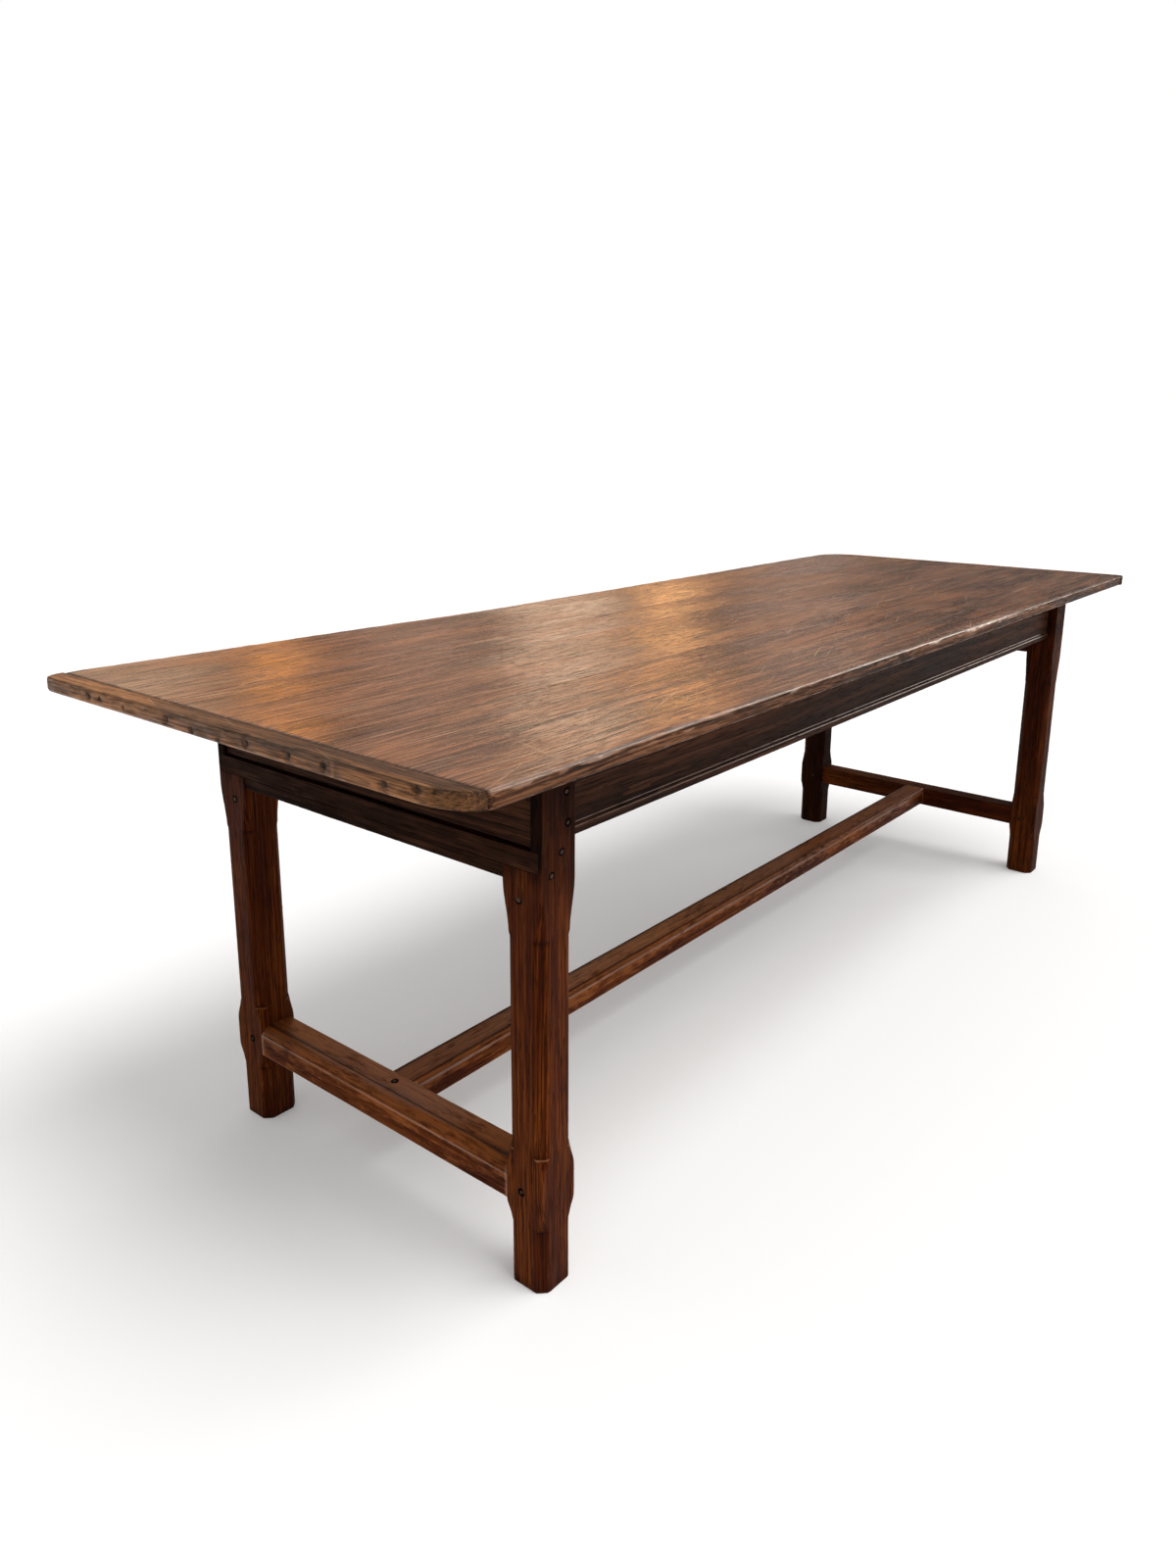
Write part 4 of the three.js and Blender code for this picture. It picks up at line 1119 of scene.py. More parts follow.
def rounded_loop(corners, radius):
    """A closed loop through the corners, with each arris rounded, as an array of points."""
    loop = []
    count = len(corners)
    for i, corner in enumerate(corners):
        here = np.array(corner, float)
        following = np.array(corners[(i + 1) % count], float)
        back = np.array(corners[i - 1], float) - here
        ahead = following - here
        r = min(radius, *(MOST_ROUND * np.linalg.norm(side) for side in (back, ahead)))
        start = here + back / np.linalg.norm(back) * r
        end = here + ahead / np.linalg.norm(ahead) * r
        for t in ROUND_STEPS:
            loop.append((1 - t) ** 2 * start + 2 * t * (1 - t) * here + t**2 * end)
        beyond = np.array(corners[(i + 2) % count], float) - following
        next_r = min(radius, *(MOST_ROUND * np.linalg.norm(side) for side in (ahead, beyond)))
        stop = following - ahead / np.linalg.norm(ahead) * next_r
        gap = np.linalg.norm(stop - end)
        near = [d for d in BESIDE_ARRIS if d < gap / 2.2]
        steps = near + [gap - d for d in reversed(near)]
        middle = gap - 2 * (near[-1] if near else 0.0)
        extra = int(middle // FLAT_SPACING)
        first = near[-1] if near else 0.0
        steps += [first + middle * (k + 1) / (extra + 1) for k in range(extra)]
        for step in sorted(steps):
            loop.append(end + (stop - end) * step / gap)
    return np.array(loop)


def thumb_points(face, top, width, height, fillet):
    """Down a thumb moulding: the quirk beside the flat top, the thumb and its fillet."""
    points = [(face - width - QUIRK_WIDTH, top)]
    points.append((face - width - QUIRK_WIDTH / 2, top - QUIRK_DEPTH))
    for t in np.linspace(0, math.pi / 2, 7):
        x = face - width + (width - fillet) * math.sin(t)
        points.append((x, top - height + height * math.cos(t)))
    points.append((face, top - height - fillet))
    return points


def profile_object(name, loop):
    """A closed loop of edges in the XY plane, for Curve to Mesh."""
    mesh = bpy.data.meshes.new(name)
    edges = [(i, (i + 1) % len(loop)) for i in range(len(loop))]
    mesh.from_pydata([(x, y, 0.0) for x, y in loop], edges, [])
    return new_object(name, mesh)


print("profiles ready")

# %% [markdown]
# The tree lays a straight curve of the piece's length, sets stations along it and carries the
# profile from one to the next, with both ends closed. Wear needs points to work on, so the
# stations stand a few millimetres apart instead of only at the two ends.

# %% Geometry tree: moulding run
RUN_INPUTS = (
    ("Profile", "NodeSocketObject", None),
    ("Length", "NodeSocketFloat", 1.0),
    ("Spacing", "NodeSocketFloat", 0.008),
    ("Swell", "NodeSocketFloat", 0.0006),
    ("Ripple", "NodeSocketFloat", 0.0004),
    ("Seed", "NodeSocketFloat", 0.0),
    ("Oak", "NodeSocketMaterial", None),
)
run_tree, w, given, result = new_group(
    "moulding run", "GeometryNodeTree", RUN_INPUTS, (("Geometry", "NodeSocketGeometry"),)
)
half_run = w.times(given["Length"], 0.5)
start_point = w.node("ShaderNodeCombineXYZ", {"Z": w.times(half_run, -1.0)})
end_point = w.node("ShaderNodeCombineXYZ", {"Z": half_run})
line = w.node(
    "GeometryNodeCurvePrimitiveLine",
    {"Start": start_point.outputs[0], "End": end_point.outputs[0]},
)
count = w.math("CEIL", w.math("DIVIDE", given["Length"], given["Spacing"]))
stations = w.node(
    "GeometryNodeResampleCurve", {"Curve": line.outputs[0], "Count": count}
)
outline_info = w.node("GeometryNodeObjectInfo", {"Object": given["Profile"]})
outline = w.node("GeometryNodeMeshToCurve", {"Mesh": outline_info.outputs["Geometry"]})
swept = w.node(
    "GeometryNodeCurveToMesh",
    {
        "Curve": stations.outputs[0],
        "Profile Curve": outline.outputs[0],
        "Fill Caps": True,
    },
)
worn = w.node("GeometryNodeGroup", {"Geometry": swept.outputs[0]}, node_tree=hand_worn)
for name in ("Swell", "Ripple", "Seed"):
    w.fill(worn.inputs[name], given[name])
whole = w.node("GeometryNodeRealizeInstances", {"Geometry": worn.outputs[0]})
oiled = w.node(
    "GeometryNodeSetMaterial", {"Geometry": whole.outputs[0], "Material": given["Oak"]}
)
w.fill(result["Geometry"], oiled.outputs[0])
print("tree:", run_tree.name, len(run_tree.nodes), "nodes")

# %% [markdown]
# An apron is a deep board on edge with a raised bead along its foot. Its tenons are inside
# the legs, so the run stops a hair inside them. Both arrises of the bead are made pale and
# glossy, which gives two bright lines that are partly rubbed wood and partly a painted
# highlight.

# %% Run the aprons
TENON_SHOW = 0.0012
LONG_SHOULDER = 0.932
SHORT_SHOULDER = 0.275
MOULDING_ROUND = 0.0016
APRON_THICK = 0.022
BEAD_HEIGHT = 0.011
BEAD_TOP = 0.0155
BEAD_DEPTH = 0.0035
BEAD_ARRISES = (0.0108, 0.0158)


def moulding_mesh(name, loop, length, outward, along, origin, slot, seed):
    """Sweeps a loop along a line; outward and along are unit vectors of the table."""
    profile = profile_object("profile", loop)
    stick = new_object("stick", bpy.data.meshes.new("stick"))
    values = {"Profile": profile, "Length": length, "Seed": seed}
    attach_tree(stick, run_tree, values | {"Oak": FINISHES[slot]})
    mesh = plain_copy(stick, name)
    bpy.data.objects.remove(profile)
    rows = (Vector(outward), Vector((0, 0, 1)), Vector(along))
    mesh.transform(Matrix.Translation(origin) @ Matrix(rows).transposed().to_4x4())
    face_outwards(mesh, merge=1e-6)
    return mesh


def apron_loop(height):
    """An apron's profile: a flat board with a bead along its foot."""
    corners = [
        (-APRON_THICK, 0.0),
        (0.0, 0.0),
        (0.0, BEAD_HEIGHT),
        (-BEAD_DEPTH, BEAD_TOP),
        (-BEAD_DEPTH, height),
        (-APRON_THICK, height),
    ]
    return rounded_loop(corners, MOULDING_ROUND)


def bead_highlight(level):
    """Rub and painted highlight at a level above an apron's foot, with a line on each arris of
    the bead.
    """
    return sum(np.exp(-(((level - highlit_arris) / 0.0014) ** 2)) for highlit_arris in BEAD_ARRISES)


middle_y = (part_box("end_stretcher_far")[0].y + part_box("end_stretcher_far")[1].y) / 2
for node, side in (("apron_front", -1), ("apron_back", 1)):
    low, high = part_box(node)
    face = low.y if side < 0 else high.y
    mesh = moulding_mesh(
        f"oak_{node}",
        apron_loop(high.z - low.z),
        2 * (LONG_SHOULDER + TENON_SHOW),
        (0, side, 0),
        (side, 0, 0),
        (0, face, low.z),
        "oak_apron",
        5.0 + side,
    )
    age(mesh, "x", handled=0.2, trodden_and_highlight=bead_highlight(points_of(mesh)[:, 2] - low.z))
    settle(new_object(mesh.name, mesh), "oak_apron", "table", node)

low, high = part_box("end_apron_far")
mesh = moulding_mesh(
    "oak_end_apron_far",
    apron_loop(high.z - low.z),
    2 * (SHORT_SHOULDER + TENON_SHOW),
    (1, 0, 0),
    (0, -1, 0),
    (high.x, middle_y, low.z),
    "oak_apron",
    8.0,
)
age(mesh, "y", handled=0.3)
settle(new_object(mesh.name, mesh), "oak_apron", "table", "end_apron_far")

# %% [markdown]
# The drawer rail is run in two lengths: the rail between the legs, and the thin band on its
# face, which laps over both legs to their outer edges. A V is left between the band and the
# strip below it.

# %% The drawer rail
RAIL_DEPTH = RAIL_HEIGHT = 0.048
BAND_FOOT = RAIL_HEIGHT - LAP_HEIGHT
STRIP_FACE = -0.002
BAND_ROUND = 0.0014
low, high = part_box("drawer_rail")
rail_loop = rounded_loop(
    [
        (-RAIL_DEPTH, 0.0),
        (STRIP_FACE - 0.003, 0.0),
        (STRIP_FACE, 0.003),
        (STRIP_FACE, BAND_FOOT - 0.0015),
        (STRIP_FACE - 0.002, BAND_FOOT),
        (-LAP_DEPTH, BAND_FOOT),
        (-LAP_DEPTH, RAIL_HEIGHT),
        (-RAIL_DEPTH, RAIL_HEIGHT),
    ],
    MOULDING_ROUND,
)
band_corners = [(-LAP_DEPTH, BAND_FOOT), (0.0, BAND_FOOT), (0.0, RAIL_HEIGHT)]
band_loop = rounded_loop([*band_corners, (-LAP_DEPTH, RAIL_HEIGHT)], BAND_ROUND)
parts = []
for name, loop, reach in (
    ("rail", rail_loop, SHORT_SHOULDER + TENON_SHOW),
    ("band", band_loop, (high.y - low.y) / 2),
):
    origin = (low.x, middle_y, low.z)
    run = moulding_mesh(
        name, loop, 2 * reach, (-1, 0, 0), (0, 1, 0), origin, "oak_apron", 9.0
    )
    parts.append(run)
joined = bmesh.new()
for part in parts:
    joined.from_mesh(part)
rail_mesh = bpy.data.meshes.new("oak_drawer_rail")
joined.to_mesh(rail_mesh)
joined.free()
points = points_of(rail_mesh)
# painted shade over the rail, which sits under the top; at its foot the shade lifts and the
# arris is rubbed pale as a painted highlight
at_foot = np.clip(1 - (points[:, 2] - low.z) / 0.004, 0, 1)
age(rail_mesh, "y", 0.72 - 0.6 * at_foot, handled=0.3 + 0.7 * at_foot)
settle(new_object("oak_drawer_rail", rail_mesh), "oak_apron", "table", "drawer_rail")

# %% [markdown]
# The end stretchers carry a thumb moulding with a quirk along their outer arris, and the
# middle stretcher a smaller one along both. Feet have rubbed their tops and their outer
# arrises, above all at the drawer end, so these are browner and brighter than the legs. A
# pale line along each outer top arris is partly rubbed wood and partly a painted highlight,
# and painted shade darkens the far stretcher, which sits in the table's shadow.

# %% The end stretchers
STRETCHER_ROUND = 0.0018
THUMB_WIDTH, THUMB_HEIGHT, THUMB_FILLET = 0.019, 0.0095, 0.0015
FAR_STRETCHER_SHADE = 0.45


def trodden_by_feet(points, low, high, amount, highlit_arris):
    """Wear from feet: most on the top, less on the sides, none underneath.

    Along highlit_arris the wood is rubbed pale, partly as wear and partly as a painted
    highlight.
    """
    level = (points[:, 2] - low.z) / (high.z - low.z)
    worn = amount * (0.35 + 0.65 * np.clip(level, 0, 1)) * (level > 0.04)
    return np.maximum(worn, highlit_arris * (level > 0.72) * (0.55 + 0.45 * amount))


for node, end, amount in (("end_stretcher_drawer", -1, 0.82), ("end_stretcher_far", 1, 0.25)):
    low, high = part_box(node)
    height = high.z - low.z
    corners = [(-(high.x - low.x), height)]
    corners += thumb_points(0.0, height, THUMB_WIDTH, THUMB_HEIGHT, THUMB_FILLET)
    corners += [(0.0, 0.0), (-(high.x - low.x), 0.0)]
    mesh = moulding_mesh(
        f"oak_{node}",
        rounded_loop(corners[::-1], STRETCHER_ROUND),
        2 * (SHORT_SHOULDER + TENON_SHOW),
        (end, 0, 0),
        (0, -end, 0),
        (high.x if end > 0 else low.x, middle_y, low.z),
        "oak_frame",
        11.0 + end,
    )
    points = points_of(mesh)
    edge_x = high.x if end > 0 else low.x
    outer_arris = np.abs(points[:, 0] - edge_x) < 0.014
    # a narrow band along the outer top arris, rubbed pale as wear and as a painted highlight
    edge = np.exp(-((np.abs(points[:, 0] - edge_x) / 0.003) ** 2))
    trodden_and_highlight = trodden_by_feet(points, low, high, amount, edge)
    # painted shade on the far stretcher, which sits in the table's shadow
    painted_shade = np.full(len(points), FAR_STRETCHER_SHADE if end > 0 else 0.0)
    age(mesh, "y", painted_shade, handled=outer_arris.astype(float), trodden_and_highlight=trodden_and_highlight)
    settle(new_object(mesh.name, mesh), "oak_frame", "table", node)

# %% [markdown]
# The middle stretcher is tenoned into the other two and joins them into an H. It has a small
# thumb along both arrises: the points of one side, and the same points mirrored.

# %% The middle stretcher
MIDDLE_SHOULDER = 0.939
SMALL_THUMB = (0.0065, 0.006, 0.0008)
low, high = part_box("middle_stretcher")
half, height = (high.y - low.y) / 2, high.z - low.z
outer_side = thumb_points(half, height, *SMALL_THUMB)
corners = [(-x, y) for x, y in reversed(outer_side)] + outer_side
corners += [(half, 0.0), (-half, 0.0)]
mesh = moulding_mesh(
    "oak_middle_stretcher",
    rounded_loop(corners[::-1], STRETCHER_ROUND),
    2 * (MIDDLE_SHOULDER + TENON_SHOW),
    (0, -1, 0),
    (-1, 0, 0),
    (0, (low.y + high.y) / 2, low.z),
    "oak_frame",
    15.0,
)
points = points_of(mesh)
outer_arris = np.abs(np.abs(points[:, 1] - (low.y + high.y) / 2) - half) < 0.004
from_side = half - np.abs(points[:, 1] - (low.y + high.y) / 2)
# a narrow band along both top arrises, rubbed pale as wear and as a painted highlight
trodden_and_highlight = trodden_by_feet(points, low, high, 0.8, np.exp(-((from_side / 0.0022) ** 2)))
age(mesh, "x", handled=outer_arris.astype(float), trodden_and_highlight=trodden_and_highlight)
settle(new_object(mesh.name, mesh), "oak_frame", "table", "middle_stretcher")

# %% [markdown]
# ## The outline of the top
#
# The top isn't a rectangle. Two opposite corners are worn round, the other two are nearly
# square, and the back edge runs out towards the drawer end. The outline is drawn once, with
# the same corners and the same rounding as the CAD, and the boards take their edges from it.

# %% Draw the outline
TOP_HALF_LENGTH = 1.197
TOP_HALF_WIDTH = 0.42
FLARE = 0.052
FLARE_START = -TOP_HALF_LENGTH + 0.375 * 2 * TOP_HALF_LENGTH
ARC_SHARE = 0.55
CORNERS = [  # x, y, and how far the round reaches before and after the corner
    (-TOP_HALF_LENGTH, -TOP_HALF_WIDTH, 0.080, 0.045),
    (TOP_HALF_LENGTH, -TOP_HALF_WIDTH, 0.018, 0.018),
    (TOP_HALF_LENGTH, TOP_HALF_WIDTH, 0.086, 0.086),
    (FLARE_START, TOP_HALF_WIDTH, 0.090, 0.090),
    (-TOP_HALF_LENGTH, TOP_HALF_WIDTH + FLARE, 0.018, 0.018),
]
TOP_SHIFT = middle_y
ARC_STEPS = 16


def outline_points():
    """Round the top, each corner as a smooth arc between its two reaches."""
    points = []
    for i, (x, y, reach_before, reach_after) in enumerate(CORNERS):
        here = Vector((x, y))
        before = Vector(CORNERS[i - 1][:2]) - here
        after = Vector(CORNERS[(i + 1) % len(CORNERS)][:2]) - here
        start = here + before.normalized() * reach_before
        end = here + after.normalized() * reach_after
        leaving = start.lerp(here, ARC_SHARE)
        arriving = end.lerp(here, ARC_SHARE)
        for k in range(ARC_STEPS + 1):
            t = k / ARC_STEPS
            u = 1 - t
            point = start * u**3 + leaving * 3 * u * u * t
            point += arriving * 3 * u * t * t + end * t**3
            points.append((point.x, point.y))
    return np.array(points)


outline = outline_points()
corner_count = len(outline) // len(CORNERS)
near_left, near_right, far_right, bend, far_left = (
    outline[k * corner_count : (k + 1) * corner_count] for k in range(len(CORNERS))
)


def sorted_by(points, column):
    """The same points in the order of x (column 0) or of y (column 1)."""
    return points[np.argsort(points[:, column])]


FRONT_EDGE = sorted_by(np.vstack([near_left, near_right]), 0)
BACK_EDGE = sorted_by(np.vstack([far_left, bend, far_right]), 0)
DRAWER_END_EDGE = sorted_by(np.vstack([near_left, far_left]), 1)
FAR_END_EDGE = sorted_by(np.vstack([near_right, far_right]), 1)
print("outline points:", len(outline))

# %% [markdown]
# ## Boards of the top
#
# A board is a loop around its thickness, repeated at stations along its length. The loops
# have their points close together near the edges, where hands and knocks have worn the wood,
# and wide apart in the middle. Wear is then worked into the points themselves: arrises are
# rounded by a radius that wanders, the front edge is hollowed where people sat, cracks open
# along the grain, and gouges and dents are pressed in.


# %% Stations and loops
TOP_LEVEL = 0.770
UNDER_LEVEL = 0.747
THICKNESS = TOP_LEVEL - UNDER_LEVEL
EDGE_STEPS = [0.0, 0.0012, 0.003, 0.0055, 0.0085, 0.012, 0.016, 0.021, 0.027, 0.034]
SEAM_STEPS = [0.0, 0.0008, 0.0022, 0.005]
SIDE_SHARES = [0.0, 0.06, 0.16, 0.3, 0.44, 0.58, 0.72, 0.84, 0.94, 1.0]
UNDER_SPACING = 0.03


def across_steps(width, first, last, spacing, extra=()):
    """Places across a board, crowded at both edges; last counts back from the far edge."""
    places = list(first) + [width - step for step in reversed(last)]
    start, stop = first[-1], width - last[-1]
    count = max(2, int((stop - start) / spacing))
    places += [start + (stop - start) * k / count for k in range(1, count)]
    places += [p for p in extra if first[-1] < p < stop]
    return np.array(sorted(set(np.round(places, 6))))


def board_loft(stations, near_edge, far_edge, first, last, spacing, extra=()):
    """Points and faces of a board. The edges say where it starts and ends at each station."""
    width = float(np.max(far_edge - near_edge))
    top = across_steps(width, first, last, spacing, extra)
    under = across_steps(width, first[::2], last[::2], UNDER_SPACING)[::-1]
    shares = np.array(SIDE_SHARES)
    loop = [(p, 0.0) for p in top]
    loop += [(width, -s * THICKNESS) for s in shares[1:-1]]
    loop += [(p, -THICKNESS) for p in under]
    loop += [(0.0, -(1 - s) * THICKNESS) for s in shares[1:-1]]
    loop = np.array(loop)
    place = loop[:, 0]
    blend = np.clip(place / width, 0, 1)
    rows = []
    for near, far in zip(near_edge, far_edge):
        squeeze = min(1.0, (far - near) / width)
        from_near = near + place * squeeze
        from_far = far - (width - place) * squeeze
        rows.append(from_near * (1 - blend) + from_far * blend)
    rows = np.array(rows)
    count, ring = rows.shape
    points = np.zeros((count, ring, 3))
    points[:, :, 0] = np.asarray(stations)[:, None]
    points[:, :, 1] = rows
    points[:, :, 2] = loop[None, :, 1] + TOP_LEVEL
    faces = []
    for i in range(count - 1):
        a, b = i * ring, (i + 1) * ring
        for j in range(ring):
            k = (j + 1) % ring
            faces.append((a + j, b + j, b + k, a + k))
    faces.append(tuple(range(ring)))
    faces.append(tuple(reversed(range((count - 1) * ring, count * ring))))
    return points.reshape(-1, 3), faces


def mesh_from(name, points, faces):
    """A mesh from arrays, with its faces pointing outwards."""
    mesh = bpy.data.meshes.new(name)
    mesh.from_pydata([tuple(p) for p in points], [], faces)
    face_outwards(mesh)
    return mesh


print("board loft ready")


# %% [markdown]
# Three kinds of wear come next, each a small function on arrays of points. The first rounds
# an arris by an ellipse, the second presses pits, and the third opens cracks. They could be
# modelled by hand in Sculpt Mode, but as functions they are repeatable and easy to retune.

# %% Wear worked into the points
def wander(points, scale, seed):
    """Smooth noise from about -1 to 1 at each point; scale is its wavelength in metres."""
    shifted = points / scale + seed * 7.31
    return np.array([noise.noise(Vector(p)) for p in shifted]) * 1.6


def round_arris(depth_in, level_in, radius_in, radius_down):
    """How far in and down points near an arris move onto an elliptic round."""
    a = np.clip(1 - depth_in / radius_in, 0, None)
    b = np.clip(1 - level_in / radius_down, 0, None)
    size = np.hypot(a, b)
    over = (size > 1) & (a > 0) & (b > 0)
    shrink = np.where(over, 1 / np.maximum(size, 1e-9), 1.0)
    return a * (1 - shrink) * radius_in, b * (1 - shrink) * radius_down


def gouges(points, spots):
    """Pits of a given radius and depth; returns each point's depth and a share of grime."""
    depth = np.zeros(len(points))
    dark = np.zeros(len(points))
    for x, y, z, radius, deep in spots:
        away = np.linalg.norm(points - np.array((x, y, z)), axis=1) / radius
        pit = np.exp(-(away**2) * 1.6)
        depth = np.maximum(depth, pit * deep)
        dark = np.maximum(dark, np.exp(-(away**2) * 1.1))
    return depth, dark


CRACKS = [  # y, start and stop along x, depth
    (-0.088, -0.30, 0.15, 0.0012),
    (-0.104, 0.56, 1.15, 0.0014),
    (-0.308, 0.48, 0.88, 0.0012),
    (-0.280, -0.95, -0.55, 0.0007),
    (-0.336, -0.20, 0.35, 0.0007),
    (0.262, -0.60, 0.10, 0.0009),
]
CRACK_HALF_WIDTH = 0.0009
CRACK_TAPER = 0.06


def crack_depths(points):
    """Cracks run along the grain and die out at both ends."""
    depth = np.zeros(len(points))
    for y, start, stop, deep in CRACKS:
        from_end = np.minimum(points[:, 0] - start, stop - points[:, 0])
        inside = np.clip(from_end / CRACK_TAPER, 0, 1)
        on_line = np.abs(points[:, 1] - y) < CRACK_HALF_WIDTH * 0.5
        top_face = points[:, 2] > TOP_LEVEL - 0.002
        depth = np.maximum(depth, inside * on_line * top_face * deep)
    return depth


print("wear ready")

# %% [markdown]
# The planks lie between the two breadboard ends. Their joints opened a little as the oak
# shrank, so each meeting edge is eased by under a millimetre and holds dark dirt.

# %% Where the planks lie
PLANK_SHARES = [0.321, 0.269, 0.137, 0.273]
PLANK_SEAM = 0.0006
CLEAT_WIDTH = 0.033
PLANK_END = TOP_HALF_LENGTH - CLEAT_WIDTH
STATION_SPACING = 0.0055
PLANK_SPACING = 0.009
plank_lines = -TOP_HALF_WIDTH + np.cumsum([0.0] + PLANK_SHARES) * 2 * TOP_HALF_WIDTH
plank_stations = np.linspace(-PLANK_END, PLANK_END, int(2 * PLANK_END / STATION_SPACING))


def unevenness(x, index):
    """Slow waves, knocks and chips along one plank, each from about -1 to 1."""
    along_x = np.column_stack([x, np.full(len(x), index * 1.0), np.zeros(len(x))])
    slow = wander(along_x, 0.21, index + 20)
    knock = wander(along_x, 0.035, index + 1)
    chip = wander(along_x, 0.014, index + 60)
    return slow, knock, chip


print("joints at y, m:", [round(float(line), 3) for line in plank_lines[1:-1]])

# %% [markdown]
# The front edge is where people sat and leaned, so its round is wide and low in the middle of
# the table and narrow at its ends. Sleeves have polished it, and its round is made pale,
# partly as rubbed wood and partly as a painted highlight. Its side face is lumpy, and painted
# shade darkens the lower half of that face. The back edge wears the same, without the hollow.


# %% Wear on an outer edge
SEAT_PLACE, SEAT_REACH = 0.23, 0.26
EDGE_RUB_AND_HIGHLIGHT = 0.92
UNDER_ROUND = 0.003


def wear_outer_edge(points, edge, sign, uneven):
    """How an outer edge wears. Returns the moves of the points, their painted shade and their
    rub with a painted highlight.

    edge is the outline's y at each point, and sign is 1 at the front and -1 at the back."""
    slow, knock, chip = uneven
    below = TOP_LEVEL - points[:, 2]
    depth_in = (points[:, 1] - edge) * sign
    seat = np.exp(-(((points[:, 0] - SEAT_PLACE) / SEAT_REACH) ** 2)) if sign > 0 else 0.0
    base = 0.008 if sign > 0 else 0.005
    wide = base + 0.010 * seat + 0.003 * slow + 0.0024 * knock + 0.0012 * chip
    deep = 0.0055 + 0.004 * seat + 0.002 * slow + 0.0016 * knock + 0.0014 * chip
    wide, deep = np.clip(wide, 0.0035, 0.03), np.clip(deep, 0.0025, 0.014)
    inwards, downwards = round_arris(depth_in, below, wide, deep)
    rub_and_edge_highlight = EDGE_RUB_AND_HIGHLIGHT * np.clip((inwards + downwards) / 0.0008, 0, 1)
    under_in, under_up = round_arris(
        depth_in, THICKNESS - below, UNDER_ROUND + 0.001 * knock, UNDER_ROUND
    )
    lumpy = wander(points * (0.2, 1.0, 1.0), 0.0055, 31) * 0.0008 + 0.0008
    side_face = (depth_in < 0.0005) & (below > 0.004)
    moves = np.zeros_like(points)
    moves[:, 1] = sign * (inwards + under_in + np.where(side_face, lumpy, 0.0))
    moves[:, 2] = under_up - downwards
    shaded_low_side = np.clip((below - 0.008) / 0.005, 0, 1) * (depth_in < 0.001)
    return moves, 0.6 * shaded_low_side, rub_and_edge_highlight


print("outer edges ready")

# %% [markdown]
# The rest of a plank wears less. The joints are eased and hold dirt, the far end of the top is
# darker and duller, the cracks open, and the whole face is a little wavy.


# %% Wear on a whole plank
DULL_START, DULL_REACH = 0.15, 0.8
FACE_SINK = 0.0006


def wear_plank(points, index):
    """Rounds, hollows, cracks and dents one plank.

    Returns its points, its grime and painted shade, and its rub with a painted highlight.
    """
    x, y, z = points.T
    below = TOP_LEVEL - z
    uneven = unevenness(x, index)
    moved = points.copy()
    grime, rub_and_edge_highlight = np.zeros(len(points)), np.zeros(len(points))
    for outline_edge, sign, outer in ((FRONT_EDGE, 1, 0), (BACK_EDGE, -1, 3)):
        if index == outer:
            edge = np.interp(x, outline_edge[:, 0], outline_edge[:, 1])
            moves, low_side_shade, rub_and_edge_highlight = wear_outer_edge(points, edge, sign, uneven)
            moved += moves
            grime = np.maximum(grime, low_side_shade)
    for line in plank_lines[1:-1]:
        away = np.abs(y - line)
        eased = np.clip(1 - away / 0.0016, 0, 1) * (below < 0.001)
        moved[:, 2] -= eased * (0.0005 + 0.0003 * uneven[1])
        grime = np.maximum(grime, np.clip(0.95 - away / 0.0013, 0, 1))
    end_away = PLANK_END - np.abs(x)
    grime = np.maximum(grime, np.clip(0.9 - end_away / 0.003, 0, 1))
    moved[:, 2] -= np.clip(1 - end_away / 0.004, 0, 1) * (below < 0.001) * 0.0005
    dull_end = np.clip((x - DULL_START) / DULL_REACH, 0, 1)
    dull_end = dull_end * np.clip((TOP_HALF_WIDTH - y) / 0.4, 0, 1)
    grime = np.maximum(grime, 0.6 * dull_end)
    cracks = crack_depths(points)
    moved[:, 2] -= cracks
    grime = np.maximum(grime, (cracks > 1e-5) * 0.95)
    flat = np.column_stack([x, y, np.zeros(len(x))])
    swell = wander(flat * (0.5, 1, 1), 0.11, 41) * 0.00035 + wander(flat, 0.03, 42) * 0.00012
    moved[:, 2] -= (below < 0.001) * (swell + FACE_SINK)
    return moved, grime, rub_and_edge_highlight


print("plank wear ready")

# %% [markdown]
# Each plank is lofted, worn, aged and settled. No cloth polishes the upright sides of the two
# outer planks, so those faces get the duller finish as a second material.


# %% The four planks
def dull_side_faces(mesh, axis):
    """Gives the upright faces across that axis the duller finish; returns how many."""
    mesh.materials.append(FINISHES["oak_edge"])
    count = 0
    for face in mesh.polygons:
        if abs(face.normal[axis]) > 0.86:
            face.material_index = 1
            count += 1
    return count


